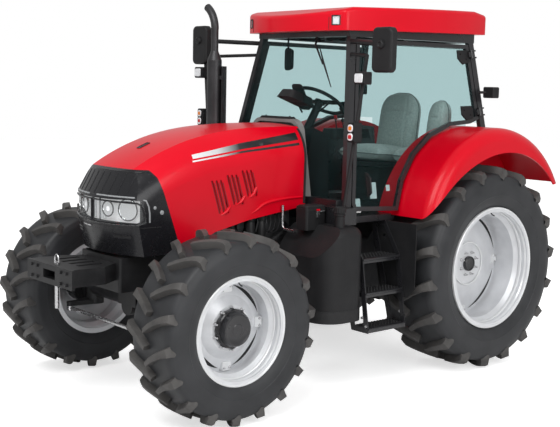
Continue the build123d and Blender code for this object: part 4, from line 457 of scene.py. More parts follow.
def shifted(profile, along, radius=0.0):
    """Profile of (along, radius) points moved along its axis and outward."""
    return [(along + a, radius + r) for a, r in profile]


def run(points, sign=1):
    """Points measured from the rear axle, on the left (1) or the right (-1)."""
    return [P(x, sign * y, z) for x, y, z in points]


def across(node, sign, start, end, count, lift=0.001):
    """Points on a node's front between two (y, z) places, on the left or the right."""
    places = zip(spread(start[0], end[0], count), spread(start[1], end[1], count))
    return [from_front(node, sign * y, z, lift) for y, z in places]


def beside(node, sign, places, lift=0.001):
    """Points on a node's left or right side at (x, z) places."""
    return [from_side(node, x, z, sign, lift) for x, z in places]


SIDES = (("left", 1), ("right", -1))
HOOD, NOSE, LAMPS = "hood_panel", "nose_grille", "headlamps"


# Tyres: a moulded carcass with long curved lugs whose outer ends spread over the shoulder

CARCASS = (
    (0.74, 0.0), (0.775, 0.004), (0.80, 0.045), (0.865, 0.09), (0.935, 0.2), (0.972, 0.3), (0.98, 0.33),
    (0.992, 0.335), (0.998, 0.42), (1.0, 0.5), (0.995, 0.58), (0.985, 0.65), (0.972, 0.67), (0.955, 0.72),
    (0.92, 0.775), (0.85, 0.815), (0.70, 0.832), (0.35, 0.838), (0.0, 0.84),
)
LUG_STATIONS = (
    # top: across and height, root: across and height, way round, half breadths of top and root
    (-0.05, 1.0, -0.05, 0.815, 0.0, 0.024, 0.038),
    (0.20, 1.0, 0.20, 0.815, 0.060, 0.026, 0.041),
    (0.45, 0.996, 0.45, 0.81, 0.112, 0.028, 0.044),
    (0.68, 0.985, 0.68, 0.8, 0.150, 0.032, 0.049),
    (0.86, 0.962, 0.83, 0.78, 0.172, 0.037, 0.056),
    (0.955, 0.92, 0.89, 0.74, 0.182, 0.044, 0.064),
    (0.995, 0.83, 0.94, 0.72, 0.186, 0.051, 0.066),
    (0.998, 0.755, 0.95, 0.68, 0.187, 0.046, 0.058),
)
LUGS = 18
LUG_STAGGER = 0.25  # of the pitch, forward on one half and back on the other
LUG_OVERLAP = 0.06  # of half the width, past the middle
TYRE_STEPS = 108


def build_tyre(name, body, middle, radius, width, rim):
    """Tyre with its rolling axis along Y; rim is the radius of the bead."""
    half = width / 2
    rise = radius - rim
    form = Form()
    profile = [(out * half, rim + up * rise) for out, up in CARCASS]
    ring = profile + [(-a, r) for a, r in profile[-2::-1]]
    form.lathe(ring, at(middle, (0, 1, 0)), TYRE_STEPS, closed=True)
    rows = len(LUG_STATIONS) - 1
    faces = [(4 * k + i, 4 * k + i + 1, 4 * k + i + 5, 4 * k + i + 4) for k in range(rows) for i in range(3)]
    faces += [(3, 2, 1, 0), (4 * rows, 4 * rows + 1, 4 * rows + 2, 4 * rows + 3)]
    for lug in range(LUGS):
        for side in (1, -1):
            start = 2 * pi * (lug + LUG_STAGGER * side) / LUGS
            verts = []
            for k, (ya, ra, yb, rb, way, top, root) in enumerate(LUG_STATIONS):
                before = LUG_STATIONS[max(k - 1, 0)]
                after = LUG_STATIONS[min(k + 1, rows)]
                du = (after[4] - before[4]) * radius
                dy = (after[0] - before[0]) * half
                span = sqrt(du * du + dy * dy) or 1
                for y, r, hw in ((yb, rb, -root), (ya, ra, -top), (ya, ra, top), (yb, rb, root)):
                    turn = start + way + hw * abs(dy) / span
                    out = y * half - hw * radius * du / span
                    out = min(max(out, -LUG_OVERLAP * half), half)
                    reach = rim + r * rise
                    verts.append(middle + Vector((reach * cos(turn), side * out, reach * sin(turn))))
            form.add(verts, faces, 1)
    return form.make(name, [RUBBER, TREAD], body, bevel=0.005, angle=40, slot="tyre_rubber")


# Tyre radius, tyre width, bead radius and rim radius
WHEEL_SIZES = {"front": (0.667, 0.478, 0.358, 0.381), "rear": (0.85, 0.598, 0.485, 0.508)}
WHEELS = []
for side, sign in SIDES:
    for end, axle_x in (("front", FRONT_X), ("rear", REAR_X)):
        rim_at = centre(f"{end}_rim_{side}")
        WHEELS.append((end, side, sign, Vector((axle_x, rim_at.y, rim_at.z))))
for end, side, sign, middle in WHEELS:
    tyre = build_tyre(f"{end}_tread_{side}", f"wheel_{end}_{side}", middle, *WHEEL_SIZES[end][:3])
    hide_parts(f"{end}_tyre_{side}")


# Wheel trim: rolled lips, valves, studs, clamp brackets, crescents of painted shade in the gap between disc
# and rim, and hub covers

# Half the rim's width, the disc's outer face, number of studs and radius of their ring
WHEEL_FACES = {"front": (0.203, 0.076, 10, 0.147), "rear": (0.267, 0.001, 8, 0.1)}
RIM_LIP = (
    (-0.014, 0.002), (0.002, 0.001), (0.006, -0.005), (0.004, -0.012), (-0.002, -0.016),
    (-0.001, -0.024), (-0.012, -0.036), (-0.03, -0.041), (-0.03, -0.03),
)
RIM_BEAD = ((-0.06, -0.038), (-0.064, -0.045), (-0.078, -0.047), (-0.084, -0.038))
VALVE = ((-0.05, -0.05), (-0.03, -0.066), (-0.012, -0.07))
STUD_END = ((0, 0.007), (0.024, 0.007), (0.026, 0.005))
CLAMPS = 4
FRONT_FLANGE = ((0, 0.137), (0.012, 0.139), (0.03, 0.137), (0.038, 0.13))
FRONT_COVER = (
    (-0.012, 0.119), (0.002, 0.111), (0.004, 0.1), (0.001, 0.094),
    (0.001, 0.046), (0.005, 0.04), (0.005, 0.02),
)
REAR_CAP = ((0, 0.064), (0.022, 0.063), (0.028, 0.056), (0.018, 0.05), (0.016, 0.02))
REAR_RIDGE = ((-0.002, 0.19), (0.004, 0.186), (0.004, 0.178), (-0.002, 0.174))


def wheel_trim(end, side, sign, middle):
    """Trim on the outer side of one wheel."""
    body = f"wheel_{end}_{side}"
    out = at(middle, (0, sign, 0))
    rim = WHEEL_SIZES[end][3]
    half, disc, studs, ring = WHEEL_FACES[end]
    lip = Form()
    lip.lathe(shifted(RIM_LIP, half, rim), out, 96, 0, True)
    lip.lathe(shifted(RIM_BEAD, half, rim), out, 96, 0, True)
    lip.tube([out @ Vector((0, r, along)) for along, r in shifted(VALVE, half, rim)], 0.005, 8, 1)
    lip.make(f"{end}_rim_lip_{side}", [WHEEL_SILVER, BLACK], body, slot="silver_paint")
    hub = Form()
    for x, y in circle(ring, studs, 0.5):
        hub.hex_bolt(out @ at((x, y, disc)), 0.014, 1)
        hub.lathe(STUD_END, out @ at((x, y, disc + 0.01)), 10, 1)
    well = rim - 0.07
    # Matt black crescents laid on the rim between the clamps are painted shade for the shadowed gap between
    # the disc and the rim
    for i in range(CLAMPS):
        painted_gap_shade = []
        for k in range(13):
            a = radians(90 * i + 12 + 66 * k / 12)
            deep = 0.001 + 0.028 * sin(pi * k / 12)
            row = []
            for r in spread(well - 0.02, well - 0.02 - deep, 3):
                start = out @ Vector((r * cos(a), r * sin(a), half + 0.1))
                hit = meet(f"{end}_rim_{side}", start, (0, -sign, 0))
                row.append(hit and hit[0] + 0.0012 * hit[1])
            painted_gap_shade.append(row)
        hub.grid(painted_gap_shade, 3)
        place = out @ Matrix.Rotation(pi / 2 * i, 4, "Z") @ at((well - 0.035, 0, disc - 0.052))
        hub.block((0.07, 0.085, 0.026), place, 0, 0.012, 0.86)
        for shift in (-0.024, 0.024):
            hub.hex_bolt(place @ at((0.008, shift, 0.012)), 0.01, 1)
    if end == "front":
        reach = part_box(f"front_hub_{side}")
        tip = abs((reach[1].y if sign > 0 else reach[0].y) - middle.y)
        hub.lathe(shifted(FRONT_FLANGE, disc), out, 96, 2, False, 12, 0.018)
        hub.lathe([(disc + 0.03, 0.123)] + shifted(FRONT_COVER, tip), out, 48, 2)
        for x, y in circle(0.13, 12):
            hub.hex_bolt(out @ at((x, y, disc + 0.036)), 0.007, 2)
    else:
        hub.lathe(shifted(REAR_CAP, disc), out, 40, 2)
        hub.lathe(shifted(REAR_RIDGE, disc), out, 64, 0, True)
    paints = [WHEEL_SILVER, STEEL, BLACK, MATT_BLACK]
    hub.make(f"{end}_wheel_bolts_{side}", paints, body, bevel=0.0015, slot="silver_paint")


for end, side, sign, middle in WHEELS:
    wheel_trim(end, side, sign, middle)


# Hood: fading side stripes, louvre trim with painted shade in and beside the slots, gasket and the top slot

def stripe(name, sign, high_line, low_line, columns=48, rows=4, lift=0.0014):
    """Thin band laid on the hood's side between two broken lines."""
    lines = []
    for part in spread(0, 1, rows + 1):
        row = []
        for x in spread(high_line[0][0], high_line[-1][0], columns + 1):
            high, low = between(high_line, x), between(low_line, x)
            row.append(from_side(HOOD, x, high + part * (low - high), sign, lift))
        lines.append(row)
    form = Form()
    form.grid(lines)
    form.make(name, [STRIPE], "hood")


STRIPES = {
    "hood_band": (
        ((2.512, 1.808), (2.066, 1.886), (1.5, 1.957)), ((2.512, 1.779), (2.066, 1.842), (1.5, 1.901)),
    ),
    "hood_line": (
        ((2.52, 1.766), (2.066, 1.829), (1.5, 1.879)), ((2.52, 1.756), (2.066, 1.815), (1.5, 1.86)),
    ),
}
for side, sign in SIDES:
    for name, (high_line, low_line) in STRIPES.items():
        stripe(f"{name}_{side}", sign, high_line, low_line)

LOUVRE_BACKS = ((2.283, 1.493, 0.27), (2.145, 1.54, 0.25), (2.01, 1.583, 0.22))
LEAN = (cos(radians(72)), sin(radians(72)))
LOUVRE_LIPS = (
    ((2.273, 1.359), (2.247, 1.366), (2.218, 1.385), (2.196, 1.41), (2.182, 1.435)),
    ((2.139, 1.422), (2.115, 1.428), (2.088, 1.445), (2.068, 1.467), (2.055, 1.488)),
    ((2.012, 1.476), (1.988, 1.484), (1.965, 1.504), (1.95, 1.528), (1.941, 1.55)),
)
LIP_RADII = (0.002, 0.011, 0.015, 0.011, 0.002)
SILL_BEAD = (
    (1.985, 1.35), (1.93, 1.378), (1.882, 1.411), (1.82, 1.43), (1.703, 1.445), (1.6, 1.45), (1.475, 1.451),
)
BEAD_RADII = (0.002, 0.009, 0.015, 0.015, 0.013, 0.011, 0.009)
for side, sign in SIDES:
    louvres = Form()
    # Dark red back plates behind the slots and dark red bands on the skin beside each slot are painted shade
    for x, z, high in LOUVRE_BACKS:
        louvres.block((0.16, high, 0.004), at(P(x, sign * 0.4175, z), (0, sign, 0)), 0, 0.03)
        for shift in (-0.04, 0.0, 0.04):
            shade = []
            for off in (-0.0096, -0.014, -0.0185):
                reach = high / 2 - 0.016 + 0.8 * off
                places = [
                    (x + shift + LEAN[0] * s + LEAN[1] * off, z + LEAN[1] * s - LEAN[0] * off)
                    for s in spread(-reach, reach, 13)
                ]
                shade.append(beside(HOOD, sign, places, 0.0012))
            louvres.grid(shade, 0)
    for line in LOUVRE_LIPS:
        louvres.tube(beside(HOOD, sign, line), LIP_RADII, 12, 1)
    louvres.tube(beside(HOOD, sign, SILL_BEAD, 0.0), BEAD_RADII, 12, 1)
    louvres.make(f"louvre_painted_shade_and_trim_{side}", [PAINTED_SHADE_RED, RED], "hood", angle=60, slot="red_paint")

GASKET_X = (1.4415, 1.45, 1.458, 1.466)
gasket = Form()
for sign in (1, -1):
    gasket.grid([beside(HOOD, sign, [(x, z) for x in GASKET_X], 0.0016) for z in spread(1.4, 1.986, 25)])
gasket.grid([[from_top(HOOD, x, y, 0.0016) for x in GASKET_X] for y in spread(-0.34, 0.34, 17)])
gasket.make("hood_gasket", [MATT_BLACK], "hood", angle=60)

SLOT_X = spread(2.635, 2.725, 9)
SLOT_HALF = 0.018
slot_form = Form()
slot_form.grid([[from_top(HOOD, x, y, 0.002) for x in SLOT_X] for y in spread(-SLOT_HALF, SLOT_HALF, 5)])
slot_edge = [from_top(HOOD, x, -SLOT_HALF, 0.003) for x in SLOT_X]
slot_edge += [from_top(HOOD, x, SLOT_HALF, 0.003) for x in SLOT_X[::-1]]
slot_form.tube(slot_edge + slot_edge[:1], 0.003, 8, 0)
slot_form.make("hood_slot", [BLACK], "hood")


# Nose: grille ribs, lamp bowls behind the lenses in housings with a painted glow, ridge frames, light grey
# brows as painted highlights, bumper slots with painted shade, buttons, latch and seam

ribs = Form()
for y in spread(-0.32, 0.32, 9):
    ribs.tube(across(NOSE, 1, (y, 1.53), (y, 1.68), 6, 0.0005), 0.0035, 8)
for z in (1.523, 1.692):
    ribs.tube(across(NOSE, 1, (-0.37, z), (0.37, z), 38, 0.0), 0.004, 8)
ribs.make("grille_ribs", [GLOSS], "hood", slot="black_gloss")

BOWLS = ((0.335, 1.432, 0.072, 0.055), (0.158, 1.428, 0.05, 0.042))  # y, z, radius and depth
BOWL_RING = ((0.002, 0.009), (0.008, 0.008), (0.009, 0.003), (0.003, 0.002))
BULB_DOME = ((0.0, 0.037), (0.008, 0.034), (0.014, 0.026), (0.017, 0.014), (0.018, 0.004))
LAMP_CORNER = ((2.975, 1.47), (2.958, 1.44), (2.948, 1.40), (2.946, 1.36))
BROW_END = ((2.93, 1.5), (2.912, 1.46), (2.902, 1.41), (2.9, 1.345))
BUTTONS = ((2.859, 1.447, 0.012), (2.799, 1.41, 0.016))  # x, z and radius
for side, sign in SIDES:
    lamp = Form()
    # The housing shell behind the bowls glows faintly as painted light
    shell = [across(LAMPS, sign, (0.012, z), (0.402, z), 22, -0.062) for z in spread(1.335, 1.495, 8)]
    lamp.grid(shell, 1)
    for y, z, r, depth in BOWLS:
        point, normal = meet(LAMPS, (4, sign * y, z), (-1, 0, 0))
        place = at(point - 0.022 * normal, normal)
        bowl = ((0.006, 1), (-0.25 * depth, 0.9), (-0.6 * depth, 0.68), (-0.9 * depth, 0.38), (-depth, 0.16))
        lamp.lathe([(0.004, r + 0.004)] + [(along, share * r) for along, share in bowl], place, 20, 0)
        lamp.lathe(shifted(BOWL_RING, 0, r), place, 28, 3, True)
        lamp.lathe(((-depth, 0.15 * r), (-0.3 * depth, 0.14 * r), (-0.15 * depth, 0.08 * r)), place, 16, 2)
    inner_y, inner_z = BOWLS[1][:2]
    point, normal = meet(LAMPS, (4, sign * inner_y, inner_z), (-1, 0, 0))
    lamp.lathe(BULB_DOME, at(point - 0.034 * normal, normal), 24, 2)
    for y in spread(0.03, 0.102, 7):
        lamp.tube(across(LAMPS, sign, (y, 1.345), (y, 1.485), 8, -0.045), 0.004, 6, 0)
    lamp.make(f"lamp_bowls_{side}", [MIRROR, HOUSING_WITH_PAINTED_GLOW, BULB, MATT_BLACK], "hood", angle=12)
    ridge = Form()
    path = across(LAMPS, sign, (0.012, 1.488), (0.412, 1.484), 21)
    path += beside(LAMPS, sign, LAMP_CORNER)
    path += across(LAMPS, sign, (0.412, 1.338), (0.012, 1.332), 21)
    ridge.tube(path + path[:1], 0.0065, 8)
    # The brow along the top and outer end of each lamp is light grey: a painted highlight on a black ridge
    brow = across(NOSE, sign, (0.05, 1.521), (0.38, 1.521), 13) + beside(NOSE, sign, BROW_END)
    ridge.tube(brow, 0.006, 8, 1)
    ridge.make(f"lamp_ridge_{side}", [GLOSS, GREY_PLASTIC_AND_PAINTED_HIGHLIGHT], "hood", slot="black_gloss")
    slot = Form()
    upper = across(NOSE, sign, (0.21, 1.252), (0.36, 1.252), 9)
    lower = across(NOSE, sign, (0.355, 1.226), (0.215, 1.226), 9)
    slot.tube(upper + lower + upper[:1], 0.004, 8)
    # The matt black sheet across the slot is painted shade for its recess
    slot.grid([upper, lower[::-1]], 1)
    slot.make(f"bumper_slot_{side}", [GLOSS, MATT_BLACK], "hood", slot="black_gloss")
    dots = Form()
    for x, z, r in BUTTONS:
        point, normal = meet(NOSE, P(x, 2 * sign, z), (0, -sign, 0))
        dots.lathe(((0, r), (0.004, r), (0.006, 0.7 * r), (0.0065, 0.2 * r)), at(point, normal), 20)
    dots.make(f"nose_buttons_{side}", [GREY_PLASTIC_AND_PAINTED_HIGHLIGHT], "hood")

latch = Form()
bar = across(NOSE, 1, (-0.15, 1.292), (-0.02, 1.292), 11, 0.004)
latch.tube(bar, [0.003] + [0.007] * 9 + [0.003], 8)
latch.tube([p - Vector((0.012, 0, 0)) for p in bar[1::8]] + [bar[5]], 0.004, 6)
latch.make("hood_latch", [STEEL], "hood", slot="steel")

SEAM_Z = 1.308
seams = Form()
for sign in (1, -1):
    path = beside(NOSE, sign, [(x, SEAM_Z) for x in (2.80, 2.84, 2.88, 2.92, 2.95)], 0.0002)
    path += [from_front(NOSE, sign * y, SEAM_Z, 0.0002) for y in (0.42, 0.40, 0.36, 0.3, 0.2, 0.1, 0.0)]
    seams.tube(path, 0.0025, 6)
seams.make("nose_seam", [MATT_BLACK], "hood")


# Firewall lid above the hood, pipes and filters on the open engine

lid = Form()
hoop_low, hoop_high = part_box("firewall_hoop")
lid_x = hoop_low.x + 0.03
lid.block((0.064, 0.4, 0.016), at((lid_x, 0, hoop_high.z + 0.006)), 0, 0.012, 0.9)
for y in (-0.15, 0.15):
    lid.hex_bolt(at((lid_x, y, hoop_high.z + 0.013)), 0.008, 0)
lid.make("firewall_lid", [PLASTIC], "chassis", slot="black_plastic")

WALL = 0.25  # side of the engine block, from the middle
PUMP = ((-0.01, 0.06), (0.05, 0.066), (0.058, 0.058), (0.06, 0.03), (0.085, 0.03), (0.088, 0.01))
for side, sign in SIDES:
    engine = Form()
    outward = (0, sign, 0)
    for x in (1.79, 1.9):
        place = at(P(x, sign * (WALL + 0.052), 1.11))
        engine.lathe(((0, 0.036), (0.01, 0.042), (0.15, 0.042), (0.165, 0.036)), place, 24, 0)
        engine.lathe(((0.165, 0.046), (0.2, 0.046), (0.206, 0.04)), place, 24, 1, False, 12, 0.03)
        engine.lathe(((-0.03, 0.012), (0, 0.014)), place, 12, 2)
    engine.block((0.3, 0.05, 0.05), at(P(1.845, sign * (WALL + 0.022), 1.335)), 1, 0.01)
    for x in spread(1.6, 1.825, 6):
        bent = (
            (x, WALL, 1.3), (x, WALL + 0.05, 1.32), (x + 0.012, WALL + 0.075, 1.26),
            (x + 0.02, WALL + 0.06, 1.19), (x + 0.02, WALL, 1.16),
        )
        engine.tube(run(bent, sign), 0.006, 8, 3)
        nut = at(P(x, sign * WALL, 1.3), outward)
        engine.lathe(((0, 0.011), (0.018, 0.011), (0.022, 0.008)), nut, 6, 3)
    duct = (
        (1.5, WALL, 1.22), (1.53, WALL + 0.07, 1.2), (1.66, WALL + 0.09, 1.13),
        (1.75, WALL + 0.08, 1.08), (1.8, WALL, 1.06),
    )
    engine.tube(run(duct, sign), 0.02, 12, 2)
    engine.lathe(PUMP, at(P(2.02, sign * WALL, 1.24), outward), 28, 0)
    elbow = ((2.02, WALL + 0.04, 1.3), (1.97, WALL + 0.06, 1.36), (1.9, WALL + 0.03, 1.37))
    engine.tube(run(elbow, sign), 0.012, 10, 2)
    paints = [CASTING, PLASTIC, MATT_BLACK, GREY_CASTING]
    engine.make(f"engine_side_{side}", paints, "chassis", bevel=0.002, slot="black_casting")

VENT_LINE = ((0.45, 1.4), (0.45, 1.28), (0.452, 1.236), (0.475, 1.217), (0.53, 1.214), (0.59, 1.214))
pipe = Form()
pipe.tube(run([(1.69, y, z) for y, z in VENT_LINE]), 0.011, 12, 0)
pipe.block((0.05, 0.03, 0.02), at(P(1.684, 0.585, 1.214), (1, 0, 0)), 1, 0.004)
pipe.block((0.03, 0.05, 0.02), at(P(1.684, 0.452, 1.30), (1, 0, 0)), 1, 0.004)
pipe.hex_bolt(at(P(1.694, 0.605, 1.214), (1, 0, 0)), 0.009, 1)
pipe.make("tank_vent_pipe", [STEEL, MATT_BLACK], "chassis", slot="steel")


# Cab: wiper, inner mirror, headliner, dash, side console, door furniture and labels left blank

def on_glass(y, z, off=0.0):
    """Point off the front of the windscreen, which leans back with height."""
    return P(1.171 - 0.172 * (z - 2.319) + off, y, z)


wiper = Form()
arm = [on_glass(0.17, 2.7, 0.012), on_glass(0.19, 2.66, 0.04), on_glass(0.3, 2.5, 0.03)]
wiper.tube(arm, [0.012, 0.009, 0.006], 8, 0)
blade = [on_glass(0.215, 2.64, 0.014), on_glass(0.305, 2.5, 0.02), on_glass(0.418, 2.319, 0.012)]
wiper.tube(blade, [0.004, 0.008, 0.004], 8, 0)
wiper.lathe(((-0.005, 0.02), (0.02, 0.018), (0.026, 0.012)), at(on_glass(0.17, 2.7), (1, 0, 0.17)), 16, 0)
wiper.make("windscreen_wiper", [PLASTIC], "chassis", slot="black_plastic")

inner = Form()
inner.block((0.09, 0.19, 0.028), at(P(1.05, -0.25, 2.545), (-1, 0, 0)), 0, 0.03, 0.9)
inner.block((0.076, 0.17, 0.004), at(P(1.034, -0.25, 2.545), (-1, 0, 0)), 1, 0.026)
inner.tube([P(1.06, -0.25, 2.6), P(1.065, -0.25, 2.68), P(1.06, -0.25, 2.735)], 0.008, 8, 0)
inner.make("inner_mirror", [PLASTIC, MIRROR], "chassis", slot="black_plastic")

LINER = ((-0.11, -0.49), (1.0, -0.43), (1.0, 0.43), (-0.11, 0.49))
liner = Form()
liner.prism([(REAR_X + x, y) for x, y in LINER], 2.742, 2.752, at((0, 0, 0)), 0)
liner.block((0.5, 0.62, 0.03), at(P(0.4, 0, 2.73)), 0, 0.08, 0.9)
for y in (-0.2, 0.2):
    liner.lathe(((0, 0.045), (-0.012, 0.04), (-0.016, 0.02)), at(P(0.75, y, 2.742)), 20, 1)
liner.make("headliner", [TRIM_GREY, PLASTIC], "chassis")

dash_low, dash_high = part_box("dash_console")
dash = Form()
dash.block((0.2, 0.3, 0.07), at((dash_high.x - 0.1, 0, dash_high.z + 0.02), (-0.35, 0, 1)), 0, 0.05, 0.82)
dash.block((0.13, 0.24, 0.01), at((dash_high.x - 0.155, 0, dash_high.z + 0.03), (-0.9, 0, 0.5)), 1, 0.03)
for y in (-0.16, 0.16):
    stalk = ((0.14, 0.6 * y, -0.1), (0.12, y, -0.05), (0.1, 1.3 * y, 0.0))
    points = [(dash_low.x + ahead, out, dash_high.z + up) for ahead, out, up in stalk]
    dash.tube(points, [0.008, 0.007, 0.012], 8, 0)
dash.make("dash_hood", [PLASTIC, MATT_BLACK], "chassis", slot="black_plastic")

KNOB = ((0, 0.008), (0.01, 0.014), (0.03, 0.013), (0.038, 0.006))
console = Form()
console.block((0.52, 0.2, 0.09), at(P(0.24, -0.36, 1.9)), 0, 0.05, 0.88)
for i, (x, high) in enumerate(((0.36, 0.1), (0.3, 0.08), (0.42, 0.12))):
    y = -0.36 + 0.03 * i
    console.tube([P(x, y, 1.93), P(x + 0.02, y, 1.93 + high)], 0.006, 8, 0)
    console.lathe(KNOB, at(P(x + 0.02, y, 1.92 + high)), 14, 1 + i % 2)
console.tube([P(0.12, -0.36, 1.87), P(0.1, -0.36, 1.6), P(0.1, -0.34, 1.325)], [0.05, 0.045, 0.06], 14, 0)
console.make("side_console", [PLASTIC, RED, MATT_BLACK], "chassis", bevel=0.004, slot="black_plastic")

DOOR_NORMAL = Vector((0.07, 0.98, 0.18)).normalized()


def door_y(x, z):
    """The glass door's outer face on the left."""
    return 0.751 - (0.07 * (x + 0.104) + 0.18 * (z - 2.079)) / 0.98


HINGE_PLATE = ((-0.075, 0.055), (0.05, 0.06), (0.072, 0.03), (0.07, -0.05), (-0.02, -0.07), (-0.075, -0.02))
HANDLE_X, HANDLE_Z = 1.085, 1.56
HANDLE_BAR = ((-0.08, 0.008), (-0.07, 0.035), (0.05, 0.037), (0.075, 0.008))
for side, sign in SIDES:
    normal = Vector((DOOR_NORMAL.x, sign * DOOR_NORMAL.y, DOOR_NORMAL.z))
    furniture = Form()
    for x, z in ((-0.135, 2.60), (-0.115, 2.125)):
        place = at(P(x, sign * (door_y(x, z) + 0.006), z), normal)
        furniture.prism([(ahead * sign, up) for ahead, up in HINGE_PLATE], 0, 0.012, place, 0, 0.94)
        for bx, by in ((-0.04, 0.02), (0.03, -0.02)):
            furniture.hex_bolt(place @ at((bx * sign, by, 0.011)), 0.009, 0)
    place = at(P(HANDLE_X, sign * (door_y(HANDLE_X, HANDLE_Z) + 0.004), HANDLE_Z), normal)
    furniture.block((0.04, 0.2, 0.02), place, 0, 0.016, 0.9)
    furniture.tube([place @ Vector((0, up, off)) for up, off in HANDLE_BAR], 0.009, 8, 0)
    furniture.make(f"door_furniture_{side}", [PLASTIC], f"door_{side}", bevel=0.002, slot="black_plastic")

LABELS = ((1.19, 1.40, 0.05, 0.11), (1.02, 1.51, 0.07, 0.13), (0.86, 1.525, 0.04, 0.05))
labels = Form()
for x, z, wide, high in LABELS:
    labels.block((wide, high, 0.0016), at(P(x, door_y(x, z) - 0.0122, z), -DOOR_NORMAL), 0, 0.004)
labels.make("blank_labels", [LABEL], "door_left")


# Seats: crowned cushions with sewn channels and piping

def cushion(form, size, place, crown, channels=(), cross=(), shoulder=0.0, paint=0, steps=40):
    """Stuffed pad: sides pulled in between its corners, seams pressed in along channels and cross lines."""
    wide, long, thick = size
    top, low = [], []
    for j in range(steps + 1):
        v = -1 + 2 * j / steps
        upper, under = [], []
        for i in range(steps + 1):
            u = -1 + 2 * i / steps
            edge = max(0.0, (1 - abs(u) ** 6) * (1 - abs(v) ** 6)) ** 0.4
            high = max(0.0, v)
            x = wide / 2 * u * (1 - 0.05 * (1 - v * v)) * (1 - shoulder * high**3)
            y = long / 2 * v * (1 - 0.04 * (1 - u * u)) * (1 - 0.6 * shoulder * abs(u) ** 3 * high)
            rise = thick / 2 * edge + crown * (1 - u * u) * (1 - v * v)
            for c in channels:
                rise -= 0.012 * edge * max(0.0, 1 - abs(u - c) / 0.06) ** 2
            for c in cross:
                rise -= 0.012 * edge * max(0.0, 1 - abs(v - c - 0.1 * (1 - u * u)) / 0.05) ** 2
            upper.append(place @ Vector((x, y, rise)))
            under.append(place @ Vector((x, y, -thick / 2 * edge)))
        top.append(upper)
        low.append(under)
    form.grid(top, paint)
    form.grid([row[::-1] for row in low], paint)
    rim = [top[0][i] for i in range(steps + 1)] + [top[j][steps] for j in range(1, steps + 1)]
    rim += [top[steps][i] for i in range(steps - 1, -1, -1)] + [top[j][0] for j in range(steps - 1, -1, -1)]
    form.tube(rim, 0.0045, 6, 1)


def seat(name, node, y, wide, depth, tall):
    """Suspension seat with a base, a cushion and a shaped back."""
    x = 0.19
    pad = Form()
    squab = at(P(x, y, 1.735), (-0.06, 0, 1), (0, 1, 0))
    cushion(pad, (depth, wide, 0.13), squab, 0.022, (-0.5, 0.35), (-0.55, 0.5))
    lean = Vector((-0.14, 0, 1)).normalized()
    back = at(P(x - 0.27, y, 1.73 + tall / 2), (lean.z, 0, -lean.x))
    cushion(pad, (wide - 0.03, tall, 0.13), back, 0.03, (-0.62, 0.62), (0.25,), 0.34)
    piece = pad.make(name + "_pads", [CLOTH, PIPING], "chassis", angle=60, slot="seat_cloth")
    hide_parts(node)
    base = Form()
    for k in range(6):
        grow = 0.02 * (k % 2)
        base.block((0.32 + grow, min(wide - 0.1, 0.3) + grow, 0.052), at(P(x, y, 1.35 + 0.05 * k)), 0, 0.04)
    base.block((depth - 0.03, wide - 0.05, 0.035), at(P(x, y, 1.655)), 1, 0.04)
    base.tube([P(x - 0.24, y, 1.66), P(x - 0.3, y, 1.8), P(x - 0.36, y, 2.1)], [0.03, 0.035, 0.025], 10, 1)
    base.make(name + "_base", [MATT_BLACK, PLASTIC], "chassis", bevel=0.004, slot="black_plastic")


seat("driver_seat", "driver_seat", 0.0, 0.5, 0.5, 0.56)
seat("passenger_seat", "passenger_seat", 0.47, 0.235, 0.36, 0.5)


# Lamps and mirrors: rail lenses, two-tone markers, mirror glass, rear lenses and roof reflectors

def lens_plate(form, place, wide, high, corner, paint, rim):
    """Lens in a raised rim."""
    form.prism(rounded(wide, high, corner), 0, 0.006, place, rim, 0.97)
    form.prism(rounded(wide - 0.012, high - 0.012, corner), 0.004, 0.011, place, paint, 0.93)


RAIL_LAMPS = {
    1: ((1.305, 0.896, 2.39), (1.365, 0.885, 1.98), (1.29, 1.09, 2.60)),
    -1: ((1.432, 0.984, 2.42), (1.439, 0.941, 2.03), (1.42, 1.01, 2.66)),
}
TAIL_FACE = Vector((-0.719, 0, 0.695))
TAIL_LENS = ((-0.002, 0.05), (0.006, 0.05), (0.012, 0.045), (0.018, 0.03), (0.02, 0.006))
for side, sign in SIDES:
    lamps = Form()
    lamp, marker, mirror = RAIL_LAMPS[sign]
    ahead = (1, 0, 0)
    lens_plate(lamps, at(P(lamp[0] + 0.04, sign * lamp[1], lamp[2]), ahead), 0.098, 0.082, 0.012, 0, 3)
    top = at(P(marker[0] + 0.04, sign * marker[1], marker[2] + 0.033), ahead)
    low = at(P(marker[0] + 0.04, sign * marker[1], marker[2] - 0.033), ahead)
    lens_plate(lamps, top, 0.066, 0.07, 0.02, 0, 3)
    lens_plate(lamps, low, 0.066, 0.07, 0.02, 0, 3)
    lamps.prism(rounded(0.036, 0.03, 0.01), 0.008, 0.0125, top, 2)
    lamps.prism(rounded(0.036, 0.03, 0.01), 0.008, 0.0125, low, 1)
    behind = at(P(mirror[0] - 0.03, sign * mirror[1], mirror[2]), (-1, 0, 0))
    lamps.prism(rounded(0.182, 0.312, 0.036), 0, 0.003, behind, 4, 0.985)
    boss = at(P(mirror[0] + 0.03, sign * mirror[1], mirror[2] + 0.04), ahead)
    lamps.lathe(((-0.004, 0.034), (0.016, 0.03), (0.022, 0.02), (0.016, 0.012)), boss, 24, 3)
    paints = [LAMP_WHITE, LAMP_RED, LAMP_AMBER, PLASTIC, MIRROR]
    lamps.make(f"rail_lenses_{side}", paints, "chassis", bevel=0.0015)
    rear = Form()
    lens_plate(rear, at(P(-0.4035, sign * 0.801, 2.30), (-1, 0, 0)), 0.098, 0.082, 0.012, 0, 2)
    tail = Vector((-0.788, 1.01, 1.714)) + 0.028 * TAIL_FACE
    rear.lathe(TAIL_LENS, at(P(tail.x, sign * tail.y, tail.z), TAIL_FACE), 32, 1)
    rear.make(f"rear_lenses_{side}", [LAMP_WHITE, LAMP_RED, PLASTIC], "chassis", bevel=0.001)
